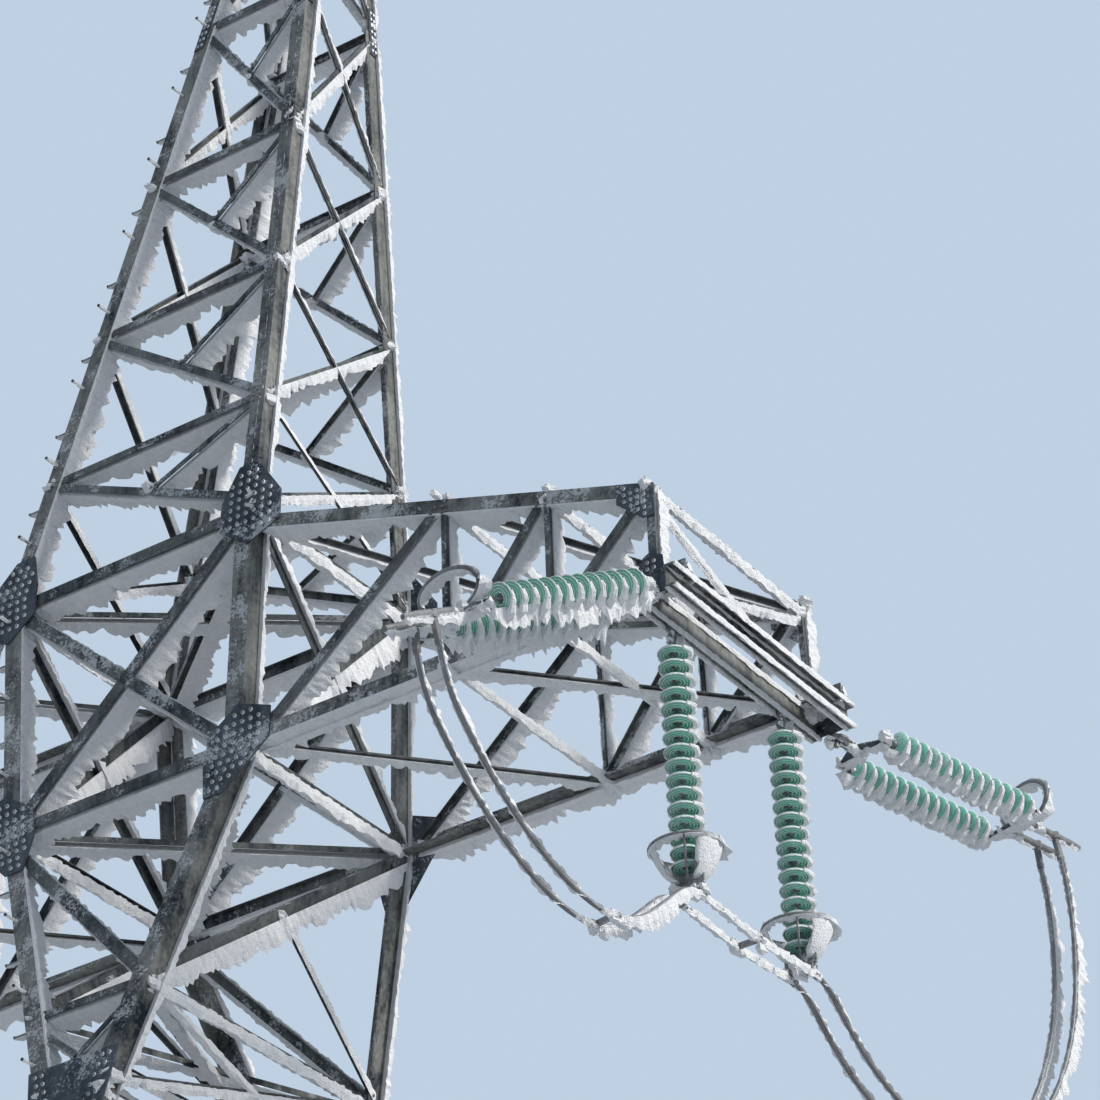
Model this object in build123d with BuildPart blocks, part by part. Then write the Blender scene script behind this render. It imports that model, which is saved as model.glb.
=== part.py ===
from build123d import *

# Lattice transmission pylon: a portal angle tower of two masts, a crossbeam, outer crossarms
# and earth-wire peaks, with glass insulator strings and looped jumper conductors.
# Millimetres. X runs along the crossarms, Y along the line, Z up, with the ground at Z = 0.

import os
from math import cos, hypot, radians, sin, tan

# Setting out of the masts, crossbeam and arms
mast_spacing = 11000
ring_height = 21600
ring_half_width = 1375
ring_half_depth = 1140
sill_drop = 2430
sill_half_width = 1270
sill_half_depth = 1190
collar_drop = 4490
waist_drop = 5400
waist_half_width = 350
foot_half_depth = 4832
peak_panels = [1210, 1530, 1670, 1770, 1700, 1420, 1100]
peak_splice = 4
peak_lean = 0.153
peak_tip_half_width = 127
peak_tip_half_depth = 120.8
column_panels = 7
column_growth = 1.11
lacing_per_panel = 2
beam_bays = 4
arm_reaches = [1965, 2975, 3955]
arm_root_drop = 150
arm_tip_drop = 1460

# Rolled sections, plates and the clearances between them
leg_size = 180
leg_wall = 16
peak_leg_size = 150
peak_tip_size = 110
peak_leg_wall = 14
chord_size = 130
chord_wall = 12
heavy_width = 110
brace_width = 75
light_width = 50
brace_depth = 55
brace_clear = 4
level_rise = 60
joint_gap = 5
root_gap = 12
gusset_wall = 14
gusset_reach = 340
waist_reach = 320
splice_wall = 12
splice_width = 100
splice_length = 520
cap_wall = 20
cap_margin = 40
lug_half_foot = 90
lug_half_head = 45
lug_height = 260
lug_wall = 24
earth_wire_bore = 22
plate_wall = 40
plate_depth = 560
plate_margin = 150
anchor_radius = 24
anchor_inset = 65

# String beams at the arm tips and under the middle of the crossbeam
channel_depth = 200
channel_flange = 80
channel_wall = 12
channel_gap = 250
channel_overhang = 190
string_line = 95
end_plate_wall = 20

# Insulator strings, measured along each string from its pin on the string beam
disc_radius = 128
crown_radius = 46
disc_height = 52
disc_sides = 6
disc_pitch = 127
cap_width = 58
seat_fit = 0.3
tension_discs = 13
tension_lead = 430
tension_drop = 230
tension_overhang = 210
tension_dip = {-1: 26.0, 1: 1.0}
tension_sway = {-1: 14.5, 1: 13.0}
string_spread = 500
strap_wall = 16
strap_width = 64
strap_length = 220
yoke_wall = 18
yoke_edge = 55
yoke_depth = 130
clamp_size = 74
clamp_length = 640
socket_size = 62
socket_reach = 230
support_discs = 16
support_seats = (-844, 797)
support_lead = 200
support_shift = -165
hanger_width = 90

# Jumper conductors, with points of their route from the mast's axis and the ring
conductor_diameter = 44
conductor_spread = 200
conductor_fit = 0.3
saddle_length = 90
saddle_height = 60
spacer_wall = 30
spacer_runs = (5, 10, 18)
jumper_run = [
    (4800, -3480, -4270),
    (4835, -3150, -4690),
    (4905, -2800, -5090),
    (5000, -2440, -5420),
    (5085, -2040, -5610),
    (5160, -1640, -5580),
    (5220, -1320, -5310),
    (5258, -1030, -5035),
    (5260, -658, -5035),
    (5262, -230, -5075),
    (5262, 210, -5070),
    (5260, 611, -5035),
    (5264, 983, -5035),
    (5320, 1190, -5370),
    (5400, 1440, -5710),
    (5500, 1820, -5980),
    (5620, 2280, -6085),
    (5740, 2740, -5990),
    (5840, 3170, -5690),
    (5915, 3530, -5250),
    (5965, 3800, -4740),
    (6000, 3960, -4200),
    (6020, 4020, -3660),
    (6030, 3990, -3160),
]

mast_axis = mast_spacing / 2
sill_height = ring_height - sill_drop
collar_height = ring_height - collar_drop
waist_height = ring_height - waist_drop
peak_top = ring_height + sum(peak_panels)
arm_tip = mast_axis + ring_half_width + arm_reaches[-1]
foot_spread = (foot_half_depth - sill_half_depth) / sill_height
up = Vector(0, 0, 1)
along = Vector(1, 0, 0)


def tapered(start, stop, part):
    return start + (stop - start) * part


def half_depth(z):
    """Half the size along the line at height z."""
    if z >= ring_height:
        return tapered(ring_half_depth, peak_tip_half_depth, (z - ring_height) / sum(peak_panels))
    if z >= sill_height:
        return tapered(ring_half_depth, sill_half_depth, (ring_height - z) / sill_drop)
    return sill_half_depth + foot_spread * (sill_height - z)


def offset_x(side, z):
    """Distance of the outer (1) or inner (-1) legs from the mast's axis at height z."""
    if z >= ring_height:
        rise = z - ring_height
        half = tapered(ring_half_width, peak_tip_half_width, rise / sum(peak_panels))
        return side * half + peak_lean * rise
    if z >= sill_height:
        part = (ring_height - z) / sill_drop
        return side * tapered(ring_half_width, sill_half_width, part)
    if z >= waist_height:
        part = (sill_height - z) / (sill_height - waist_height)
        return side * tapered(sill_half_width, waist_half_width, part)
    return side * waist_half_width


def corner(side, end, z):
    """The heel of one leg of the right-hand mast."""
    return Vector(mast_axis + offset_x(side, z), end * half_depth(z), z)


faces = {
    "front": ((1, -1), (-1, -1)),
    "rear": ((1, 1), (-1, 1)),
    "outer": ((1, -1), (1, 1)),
    "inner": ((-1, -1), (-1, 1)),
}


def spot(face, across, z):
    """A point on a face of the mast, from its first leg (0) to its second (1)."""
    first, second = (corner(side, end, z) for side, end in faces[face])
    return first + (second - first) * across


def mast_middle(z):
    return Vector(mast_axis + (offset_x(1, z) + offset_x(-1, z)) / 2, 0, z)


def middle(a, b):
    return (a + b) * 0.5


def inward(a, b, c, inside):
    """The unit normal of the plane through a, b and c that points to the inside."""
    normal = (b - a).cross(c - a).normalized()
    return normal if normal.dot(inside - a) > 0 else normal * -1


def end_cut(start, end, edges, width, clear):
    """How far a brace is cut back at its start to stay clear of the corner lines there."""
    run = (end - start).normalized()
    cut = 0
    for point, direction in edges:
        if (start - point).cross(direction).length < 1:
            slant = run.cross(direction).length
            cut = max(cut, (clear + width / 2 * abs(run.dot(direction))) / slant)
    return cut


def brace(start, end, width, normal, edges, wall):
    """A flat-backed brace on the inside of the flanges, cut clear of the corners at its ends."""
    clear = wall + brace_depth + brace_clear
    run = (end - start).normalized()
    first = end_cut(start, end, edges, width, clear)
    last = end_cut(end, start, edges, width, clear)
    seat = Plane(origin=start + run * first + normal * wall, x_dir=normal.cross(run), z_dir=run)
    with BuildSketch(seat) as section:
        Rectangle(width, brace_depth, align=(Align.CENTER, Align.MIN))
    return extrude(section.sketch, amount=(end - start).length - first - last, mode=Mode.PRIVATE)


def prism(points, run):
    """A solid swept straight along run from a flat outline."""
    return Solid.extrude(Face(Wire.make_polygon(points, close=True)), run)


def angle(start, end, arm_a, arm_b, size, wall):
    """A rolled angle whose heel runs from start to end, with its ends cut along its arms."""
    outline = [(0, 0), (size, 0), (size, wall), (wall, wall), (wall, size), (0, size)]
    return prism([start + arm_a * u + arm_b * v for u, v in outline], end - start)


def mast_web(face, low, high, members, wall=leg_wall):
    """Braces of one plane face of the mast between two levels, on legs with the given wall."""
    feet = [spot(face, across, low) for across in (0, 1)]
    tops = [spot(face, across, high) for across in (0, 1)]
    edges = [(foot, (top - foot).normalized()) for foot, top in zip(feet, tops)]
    normal = inward(feet[0], feet[1], tops[0], mast_middle((low + high) / 2))
    return [brace(a, b, width, normal, edges, wall) for a, b, width in members]


def crossed(face, low, high, width):
    return [
        (spot(face, 0, low), spot(face, 1, high), width),
        (spot(face, 1, low), spot(face, 0, high), width),
    ]


def level(face, z, width):
    return [(spot(face, 0, z), spot(face, 1, z), width)]


def leg_run(low, high, size, wall):
    """The four legs of the right-hand mast between two heights."""
    legs = []
    for side in (1, -1):
        for end in (-1, 1):
            heels = (corner(side, end, low), corner(side, end, high))
            legs.append(angle(*heels, Vector(-side, 0, 0), Vector(0, -end, 0), size, wall))
    return legs


# Earth-wire peaks
peak_levels = [ring_height + sum(peak_panels[:i]) for i in range(len(peak_panels) + 1)]
splice_height = peak_levels[peak_splice]


def peak_web(face):
    """Levels, falling long diagonals and half diagonals of a front or rear face."""
    members = []
    for low, high in zip(peak_levels, peak_levels[1:]):
        top, foot = spot(face, 1, high), spot(face, 0, max(low, ring_height + level_rise))
        if high < peak_top:
            members += level(face, high, brace_width)
            members.append((spot(face, 0, high), middle(top, foot), light_width))
        members.append((top, foot, brace_width))
    return members


def peak_cross(face):
    members = []
    for low, high in zip(peak_levels, peak_levels[1:]):
        members += crossed(face, max(low, ring_height + level_rise), high, light_width)
    return members


with BuildPart() as peak_legs:
    add(leg_run(ring_height + joint_gap, splice_height - joint_gap, peak_leg_size, peak_leg_wall))
    add(leg_run(splice_height + joint_gap, peak_top, peak_tip_size, peak_leg_wall))
    mirror(about=Plane.YZ)

peak_faces = {}
for face, web in (
    ("front", peak_web),
    ("rear", peak_web),
    ("outer", peak_cross),
    ("inner", peak_cross),
):
    with BuildPart() as peak_face:
        add(mast_web(face, ring_height, peak_top, web(face), peak_leg_wall))
        mirror(about=Plane.YZ)
    peak_faces[face] = peak_face

# Cap plate of each peak, with the lug that holds the earth wire
cap_x = mast_middle(peak_top).X
cap_sides = [2 * (half + cap_margin) for half in (peak_tip_half_width, peak_tip_half_depth)]
with BuildPart() as peak_caps:
    with BuildSketch(Plane.XY.offset(peak_top)):
        with Locations((cap_x, 0)):
            Rectangle(*cap_sides)
    extrude(amount=cap_wall)
    lug_origin = (cap_x - lug_wall / 2, 0, peak_top + cap_wall)
    with BuildSketch(Plane(origin=lug_origin, x_dir=(0, 1, 0), z_dir=(1, 0, 0))):
        with BuildLine():
            Polyline(
                (-lug_half_foot, 0),
                (lug_half_foot, 0),
                (lug_half_head, lug_height),
                (-lug_half_head, lug_height),
                close=True,
            )
        make_face()
        with Locations((0, lug_height - 2.5 * earth_wire_bore)):
            Circle(earth_wire_bore, mode=Mode.SUBTRACT)
    extrude(amount=lug_wall)
    mirror(about=Plane.YZ)

# Splice plates on both flanges of every peak leg
with BuildPart() as splice_plates:
    covers = []
    for side in (1, -1):
        for end in (-1, 1):
            low = corner(side, end, splice_height - splice_length / 2)
            high = corner(side, end, splice_height + splice_length / 2)
            for arm in (Vector(-side, 0, 0), Vector(0, -end, 0)):
                near, far = arm * joint_gap, arm * (joint_gap + splice_width)
                out = inward(low, low + arm, high, mast_middle(splice_height)) * -splice_wall
                covers.append(prism([low + near, low + far, high + far, high + near], out))
    add(covers)
    mirror(about=Plane.YZ)


# Body between the ring and the sill, and the haunch that narrows to the waist
def head_web(face):
    members = level(face, ring_height - level_rise, heavy_width)
    members += level(face, sill_height + level_rise, heavy_width)
    members += crossed(face, sill_height, ring_height, heavy_width)
    return members


def haunch_web(face):
    """The falling brace, the collar level and the crossed bay above the waist."""
    top, foot = spot(face, 1, sill_height), spot(face, 0, collar_height)
    members = [(top, foot, heavy_width)]
    members += level(face, collar_height, brace_width)
    if face in ("outer", "inner"):
        members.append((middle(top, foot), spot(face, 1, collar_height), light_width))
    members += crossed(face, waist_height + level_rise, collar_height, light_width)
    return members


with BuildPart() as head_legs:
    add(leg_run(sill_height + joint_gap, ring_height - joint_gap, leg_size, leg_wall))
    add(leg_run(waist_height + joint_gap, sill_height - joint_gap, leg_size, leg_wall))
    mirror(about=Plane.YZ)

head_faces = {}
for face in faces:
    with BuildPart() as head_face:
        add(mast_web(face, sill_height, ring_height, head_web(face)))
        add(mast_web(face, waist_height, sill_height, haunch_web(face)))
        mirror(about=Plane.YZ)
    head_faces[face] = head_face

# Column between the waist and the base plates
with BuildPart() as column_legs:
    add(leg_run(plate_wall, waist_height - joint_gap, leg_size, leg_wall))
    mirror(about=Plane.YZ)

column_top = waist_height - level_rise
column_height = column_top - plate_wall - level_rise
first_panel = column_height * (column_growth - 1) / (column_growth**column_panels - 1)
column_levels = [column_top]
for step in range(column_panels):
    column_levels.append(column_levels[-1] - first_panel * column_growth**step)


def column_cross(face):
    """Crossed panels of the wide sides, with a level between panels."""
    members = []
    for high, low in zip(column_levels, column_levels[1:]):
        members += level(face, high, brace_width)
        members += crossed(face, low, high, brace_width)
    return members


def column_lacing(face):
    """Single lacing on the narrow sides, turning from leg to leg."""
    members = []
    hand = 0
    for high, low in zip(column_levels, column_levels[1:]):
        pitch = (high - low) / lacing_per_panel
        for step in range(lacing_per_panel):
            top = high - pitch * step
            ends = (spot(face, hand, top), spot(face, 1 - hand, top - pitch))
            members.append((*ends, light_width))
            hand = 1 - hand
    return members


column_faces = {}
for face, web in (
    ("front", column_lacing),
    ("rear", column_lacing),
    ("outer", column_cross),
    ("inner", column_cross),
):
    with BuildPart() as column_face:
        add(mast_web(face, plate_wall, waist_height, web(face)))
        mirror(about=Plane.YZ)
    column_faces[face] = column_face


def inner_room(z):
    """Half the clear width and depth inside the braces, over the depth of a diaphragm."""
    rooms = []
    for reach in (lambda h: (offset_x(1, h) - offset_x(-1, h)) / 2, half_depth):
        high, low = reach(z), reach(z - brace_depth)
        tilt = hypot(1, (high - low) / brace_depth)
        rooms.append(min(high, low) - (leg_wall + brace_depth) * tilt)
    return rooms


# Diaphragms square the mast inside its level braces, and ties join the column's wide sides
with BuildPart() as diaphragms:
    for z in (ring_height - level_rise, sill_height + level_rise, collar_height):
        top = z + brace_depth / 2
        half_x, half_y = inner_room(top)
        turn = Vector(half_x, half_y).get_angle(along)
        reach = 3 * hypot(half_x, half_y)
        for hand in (1, -1):
            with BuildSketch(Plane.XY.offset(top - brace_depth)):
                with Locations((mast_middle(z).X, 0)):
                    Rectangle(2 * half_x, 2 * half_y)
                    Rectangle(reach, brace_width, rotation=hand * turn, mode=Mode.INTERSECT)
            extrude(amount=brace_depth)
    mirror(about=Plane.YZ)

with BuildPart() as column_ties:
    for z in column_levels[1:-1]:
        with BuildSketch(Plane.XY.offset(z - light_width / 2)):
            with Locations((mast_axis, 0)):
                Rectangle(2 * (waist_half_width - leg_wall - brace_depth), light_width)
        extrude(amount=light_width)
    mirror(about=Plane.YZ)


def gusset(side, end, z, hand):
    """A bent joint plate outside a leg. Its wing for the chord lies below z for hand 1."""
    reach = gusset_reach * 1.25
    outline = [
        (-gusset_reach * 0.9, 0),
        (-gusset_reach * 0.9, -gusset_reach * 0.85),
        (leg_size * 0.2, -reach),
        (gusset_reach, -gusset_reach * 0.6),
        (gusset_reach, gusset_reach * 0.25),
        (leg_size, reach),
        (-joint_gap * 4, reach),
    ]
    shape = []
    for inset, rise in outline:
        height = z + hand * rise
        shape.append(Vector(mast_axis + offset_x(side, height) - side * inset, 0, height))
    heights = (z + reach, z, z - reach)
    skin = [Vector(0, end * half_depth(h), h) for h in heights]
    cover = [Vector(0, end * (half_depth(h) + gusset_wall), h) for h in reversed(heights)]
    bent = prism(skin + cover, along * mast_spacing)
    return bent & prism(shape, Vector(0, end * 2 * ring_half_depth, 0))


with BuildPart() as gusset_plates:
    plates = []
    for side in (1, -1):
        for end in (-1, 1):
            plates.append(gusset(side, end, ring_height, 1))
            plates.append(gusset(side, end, sill_height, -1))
    for end in (-1, 1):
        rims = [
            corner(side, end, waist_height + rise * waist_reach) + along * side * root_gap
            for side, rise in ((-1, 1), (1, 1), (1, -1), (-1, -1))
        ]
        out = inward(rims[0], rims[1], rims[2], mast_middle(waist_height)) * -gusset_wall
        plates.append(prism(rims, out))
    add(plates)
    mirror(about=Plane.YZ)

# Base plate under each pair of legs, with four anchor holes
plate_width = 2 * (waist_half_width + plate_margin)
plate_y = half_depth(plate_wall) - leg_size / 2
anchor_spacing = (plate_width - 2 * anchor_inset, plate_depth - 2 * anchor_inset)
with BuildPart() as base_plates:
    with BuildSketch(Plane.XY):
        with Locations(*[(x, y) for x in (-mast_axis, mast_axis) for y in (-plate_y, plate_y)]):
            Rectangle(plate_width, plate_depth)
            with GridLocations(*anchor_spacing, 2, 2):
                Circle(anchor_radius, mode=Mode.SUBTRACT)
    extrude(amount=plate_wall)

# Crossbeam between the masts. Its sides lie in the planes of the masts' front and rear faces
side_slope = (sill_half_depth - ring_half_depth) / sill_drop
ends = {"front": -1, "rear": 1}


def beam_point(end, top, x):
    z = ring_height if top else sill_height
    return Vector(x, end * half_depth(z), z)


def beam_reach(top):
    return mast_axis - (ring_half_width if top else sill_half_width) - root_gap


def chord(start, stop, end, top):
    """A chord angle with one arm in the side plane and one across, toward the other side."""
    fall = Vector(0, end * side_slope, -1).normalized() * (1 if top else -1)
    return angle(start, stop, fall, Vector(0, -end, 0), chord_size, chord_wall)


with BuildPart() as beam_chords:
    bars = []
    for end in (-1, 1):
        for top in (True, False):
            reach = beam_reach(top)
            bars.append(chord(beam_point(end, top, -reach), beam_point(end, top, reach), end, top))
    add(bars)

bay = 2 * beam_reach(True) / beam_bays
bay_lines = [bay * step - beam_reach(True) for step in range(beam_bays + 1)]
beam_inside = Vector(0, 0, ring_height - sill_drop / 2)


def beam_side(end):
    """Posts, and diagonals that fall toward the middle, of one side."""
    members = []
    for step, (x0, x1) in enumerate(zip(bay_lines, bay_lines[1:])):
        falls = step < beam_bays / 2
        start, stop = beam_point(end, falls, x0), beam_point(end, not falls, x1)
        members.append((start, stop, brace_width))
        if step:
            members.append((beam_point(end, True, x0), beam_point(end, False, x0), light_width))
    return members


def beam_plan(top):
    """Struts and single diagonals between the front and rear chords."""
    members = []
    for step, (x0, x1) in enumerate(zip(bay_lines, bay_lines[1:])):
        end = -1 if step % 2 else 1
        members.append((beam_point(end, top, x0), beam_point(-end, top, x1), light_width))
        if step:
            members.append((beam_point(-1, top, x0), beam_point(1, top, x0), light_width))
    return members


def truss_web(members, normal, edges):
    return [brace(a, b, width, normal, edges, chord_wall) for a, b, width in members]


beam_sides = {}
for name, end in ends.items():
    lines = [(beam_point(end, top, 0), along) for top in (True, False)]
    a, b, c = beam_point(end, True, 0), beam_point(end, True, bay), beam_point(end, False, 0)
    with BuildPart() as beam_web:
        add(truss_web(beam_side(end), inward(a, b, c, beam_inside), lines))
    beam_sides[name] = beam_web

beam_plans = {}
for name, top in (("top", True), ("bottom", False)):
    lines = [(beam_point(end, top, 0), along) for end in (-1, 1)]
    with BuildPart() as beam_web:
        add(truss_web(beam_plan(top), up * (-1 if top else 1), lines))
    beam_plans[name] = beam_web

# Crossarm outside the right-hand mast, mirrored for the left
arm_root = mast_axis + ring_half_width
arm_slope = (arm_tip_drop - arm_root_drop) / arm_reaches[-1]
tip_overhang = string_line + channel_gap / 2 + channel_flange
string_x = arm_tip + string_line
stations = [0] + arm_reaches


def arm_point(end, top, reach):
    """A point on a chord line of the arm at a distance from the mast's face."""
    z = ring_height - arm_root_drop - arm_slope * reach if top else sill_height
    return Vector(arm_root + reach, end * half_depth(z), z)


def chord_line(end, top):
    start, stop = arm_point(end, top, 0), arm_point(end, top, stations[-1])
    return start, (stop - start).normalized()


with BuildPart() as arm_chords:
    bars = []
    for end in (-1, 1):
        top_run = (root_gap, stations[-1] + brace_width / 2)
        low_run = (sill_half_width - ring_half_width + root_gap, stations[-1] + tip_overhang)
        bars.append(chord(*[arm_point(end, True, reach) for reach in top_run], end, True))
        bars.append(chord(*[arm_point(end, False, reach) for reach in low_run], end, False))
    add(bars)
    mirror(about=Plane.YZ)


def arm_side(end):
    """Posts and rising diagonals on one side of the arm."""
    members = []
    for back, out in zip(stations, stations[1:]):
        width = brace_width if out == stations[-1] else light_width
        members.append((arm_point(end, True, out), arm_point(end, False, back), brace_width))
        members.append((arm_point(end, True, out), arm_point(end, False, out), width))
    return members


def arm_plan(top):
    """Struts at the nodes, and diagonals from the mast to node 1 and from node 1 to the tip."""
    ties = stations[1:] if top else stations[1:-1]
    members = [(arm_point(-1, top, reach), arm_point(1, top, reach), light_width) for reach in ties]
    for back, out in ((stations[0], stations[1]), (stations[1], stations[-1])):
        members.append((arm_point(-1, top, back), arm_point(1, top, out), light_width))
    return members


arm_inside = Vector(arm_root + stations[1], 0, sill_height + sill_drop / 4)
arm_sides = {}
for name, end in ends.items():
    lines = [chord_line(end, top) for top in (True, False)]
    a, b, c = arm_point(end, True, 0), arm_point(end, True, bay), arm_point(end, False, 0)
    with BuildPart() as arm_web:
        add(truss_web(arm_side(end), inward(a, b, c, arm_inside), lines))
        mirror(about=Plane.YZ)
    arm_sides[name] = arm_web

arm_plans = {}
for name, top in (("top", True), ("bottom", False)):
    lines = [chord_line(end, top) for end in (-1, 1)]
    a, b, c = arm_point(-1, top, 0), arm_point(-1, top, bay), arm_point(1, top, 0)
    with BuildPart() as arm_web:
        add(truss_web(arm_plan(top), inward(a, b, c, arm_inside), lines))
        mirror(about=Plane.YZ)
    arm_plans[name] = arm_web

# Crossed end frame between the posts at the arm's tip
strut_foot = arm_point(1, True, stations[-1]).Z - (chord_wall + brace_depth + brace_clear) * 1.4
frame_low = sill_height + chord_wall + brace_depth + brace_clear
frame_high = strut_foot - light_width / 2
frame_span = 2 * half_depth(frame_low)
with BuildPart() as arm_end_frames:
    room = [
        (end * (half_depth(z) - (chord_wall + brace_depth) * hypot(1, side_slope)), z)
        for end, z in ((-1, frame_low), (1, frame_low), (1, frame_high), (-1, frame_high))
    ]
    turn = Vector(frame_span, frame_high - frame_low).get_angle(along)
    seat = Plane(origin=(arm_tip - light_width / 2, 0, 0), x_dir=(0, 1, 0), z_dir=(1, 0, 0))
    for hand in (1, -1):
        with BuildSketch(seat):
            with BuildLine():
                Polyline(*room, close=True)
            make_face()
            with Locations((0, (frame_low + frame_high) / 2)):
                Rectangle(2 * frame_span, light_width, rotation=hand * turn, mode=Mode.INTERSECT)
        extrude(amount=light_width)
    mirror(about=Plane.YZ)

# String beams: two channels back to back, with an end plate and a pin lug at each end
channel_reach = sill_half_depth + channel_overhang
channel_foot = sill_height - channel_depth
phases = [-string_x, 0, string_x]


def channel(x, hand):
    """One channel with its web at x and its toes turned to the hand side."""
    toe, web = hand * channel_flange, hand * channel_wall
    outline = [
        (0, 0),
        (toe, 0),
        (toe, -channel_wall),
        (web, -channel_wall),
        (web, channel_wall - channel_depth),
        (toe, channel_wall - channel_depth),
        (toe, -channel_depth),
        (0, -channel_depth),
    ]
    points = [Vector(x + u, -channel_reach, sill_height + v) for u, v in outline]
    return prism(points, Vector(0, 2 * channel_reach, 0))


with BuildPart() as string_beams:
    add([channel(x + hand * channel_gap / 2, hand) for x in phases for hand in (-1, 1)])


def tension_frame(x, end):
    """The pin of a tension set: Z runs down the set and X across its two strings."""
    dip, sway = radians(tension_dip[end]), radians(tension_sway[end])
    run = Vector(end * sin(sway) * cos(dip), end * cos(sway) * cos(dip), -sin(dip))
    pin = Vector(x, end * (sill_half_depth + tension_overhang), sill_height - tension_drop)
    return Plane(origin=pin, x_dir=run.cross(up), z_dir=run)


def anchor(x, end):
    """The end plate between the channels, with the lug that carries the pin."""
    frame = tension_frame(x, end)
    seat = end * (channel_reach - 2 * end_plate_wall)
    with BuildSketch(Plane.XY.offset(channel_foot)) as plan:
        with Locations((x, seat)):
            Rectangle(channel_gap, end_plate_wall)
    plate = extrude(plan.sketch, amount=channel_depth, mode=Mode.PRIVATE)
    flat = Vector(frame.z_dir.X, frame.z_dir.Y, 0).normalized()
    half = frame.x_dir * (lug_wall / 2)
    foot = frame.origin + (flat - up) * strap_width * 0.6
    top = foot + up * strap_width * 1.3
    back = frame.origin - flat * ((frame.origin.Y - seat) / flat.Y)
    rim = [Vector(back.X, back.Y, height) for height in (sill_height - channel_depth / 2, foot.Z)]
    rim += [foot, top]
    return plate + prism([point - half for point in rim], half * 2)


string_ends = [(x, end) for x in phases for end in (-1, 1)]
with BuildPart() as string_anchors:
    add([anchor(x, end) for x, end in string_ends])

# Tension fittings, modelled along one set and repeated
disc_end = tension_lead + (tension_discs - 1) * disc_pitch + disc_height
line_yoke = disc_end + disc_pitch
line_clamp = line_yoke + yoke_depth
half_spread = string_spread / 2
half_twin = conductor_spread / 2
tower_yoke = strap_length - strap_wall


def yoke(start, near, far):
    """A tapered plate across the strings, with its near and far half widths."""
    points = [(-near, start), (near, start), (far, start + yoke_depth), (-far, start + yoke_depth)]
    return prism([Vector(x, -yoke_wall / 2, z) for x, z in points], Vector(0, yoke_wall, 0))


def bar(x, y, start, stop, width, depth):
    """A straight bar along Z, centred on x and y."""
    with BuildSketch(Plane.XY.offset(start)) as section:
        with Locations((x, y)):
            Rectangle(width, depth)
    return extrude(section.sketch, amount=stop - start, mode=Mode.PRIVATE)


def repeated(frames, solids):
    return [frame.location * solid for frame in frames for solid in solids]


strap_x = (lug_wall + strap_wall) / 2
tower_plate = yoke(tower_yoke, yoke_edge, half_spread + yoke_edge)
hub = bar(0, 0, strap_width, tower_yoke + strap_wall, lug_wall, strap_width)
hardware = [hub + tower_plate, yoke(line_yoke, half_spread + yoke_edge, half_twin + yoke_edge)]
for x in (-strap_x, strap_x):
    hardware.append(bar(x, 0, -strap_width / 2, tower_yoke - 1, strap_wall, strap_width))

caps, disc_places = [], []
for x in (-half_spread, half_spread):
    caps.append(bar(x, 0, tower_yoke + yoke_depth, tension_lead - seat_fit, cap_width, cap_width))
    for step in range(tension_discs):
        start = tension_lead + step * disc_pitch
        disc_places.append(Location((x, 0, start)))
        low, high = start + disc_height + seat_fit, start + disc_pitch - seat_fit
        caps.append(bar(x, 0, low, high, cap_width, cap_width))
    caps[-1] = bar(x, 0, disc_end + seat_fit, line_yoke, cap_width, cap_width)


def rim(radius, z):
    """The corners of a disc's outline at one height."""
    turns = [radians(360 * step / disc_sides) for step in range(disc_sides)]
    return [Vector(radius * cos(turn), radius * sin(turn), z) for turn in turns]


# One glass disc: a bell of flat sides that opens away from its crown
crown, skirt = rim(crown_radius, 0), rim(disc_radius, disc_height)
with BuildPart() as disc:
    outlines = [crown, skirt]
    for step in range(disc_sides):
        outlines.append([crown[step - 1], crown[step], skirt[step], skirt[step - 1]])
    add(Solid(Shell([Face(Wire.make_polygon(outline, close=True)) for outline in outlines])))

tension_sets = [tension_frame(x, end) for x, end in string_ends]
with BuildPart() as tension_glass:
    add(repeated(tension_sets, [place * disc.part for place in disc_places]))
with BuildPart() as tension_caps:
    add(repeated(tension_sets, caps))
with BuildPart() as tension_yokes:
    add(repeated(tension_sets, hardware))

# Jumper route from socket to socket, shared by both conductors of every phase
clamp_middle = line_clamp + clamp_length / 2
clamp_roots = {}
for end in (-1, 1):
    home = tension_frame(0, end)
    clamp_roots[end] = home.origin + home.z_dir * clamp_middle
route = [Vector(x + mast_axis - string_x, y, z + ring_height) for x, y, z in jumper_run]


def socket_mouth(end):
    """Where the socket of a dead-end clamp meets the jumper."""
    root, near = clamp_roots[end], route[0] if end < 0 else route[-1]
    return root + (near - root).normalized() * socket_reach


route = [socket_mouth(-1)] + route + [socket_mouth(1)]


def jumper_radii(points):
    radii = []
    for a, b, c in zip(points, points[1:], points[2:]):
        turn = radians((b - a).get_angle(c - b))
        radii.append(0.45 * min((b - a).length, (c - b).length) / tan(turn / 2))
    return radii


print("jumper radii", [round(radius) for radius in jumper_radii(route)])
print("jumper runs", [round((b - a).length) for a, b in zip(route, route[1:])])
print("jumper ends", [[round(v, 1) for v in tuple(point)] for point in (route[0], route[-1])])


def dead_end_clamp(x, end, hand):
    """A dead-end clamp with the socket that its jumper leaves from."""
    low, high = line_clamp, line_clamp + clamp_length
    body = tension_frame(x, end).location * bar(hand, 0, low, high, clamp_size, clamp_size)
    shift = along * (x + hand)
    mouth, near = (route[0], route[1]) if end < 0 else (route[-1], route[-2])
    with BuildSketch(Plane(origin=mouth + shift, z_dir=(mouth - near).normalized())) as section:
        Rectangle(socket_size, socket_size)
    return body + extrude(section.sketch, amount=socket_reach, mode=Mode.PRIVATE)


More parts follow.
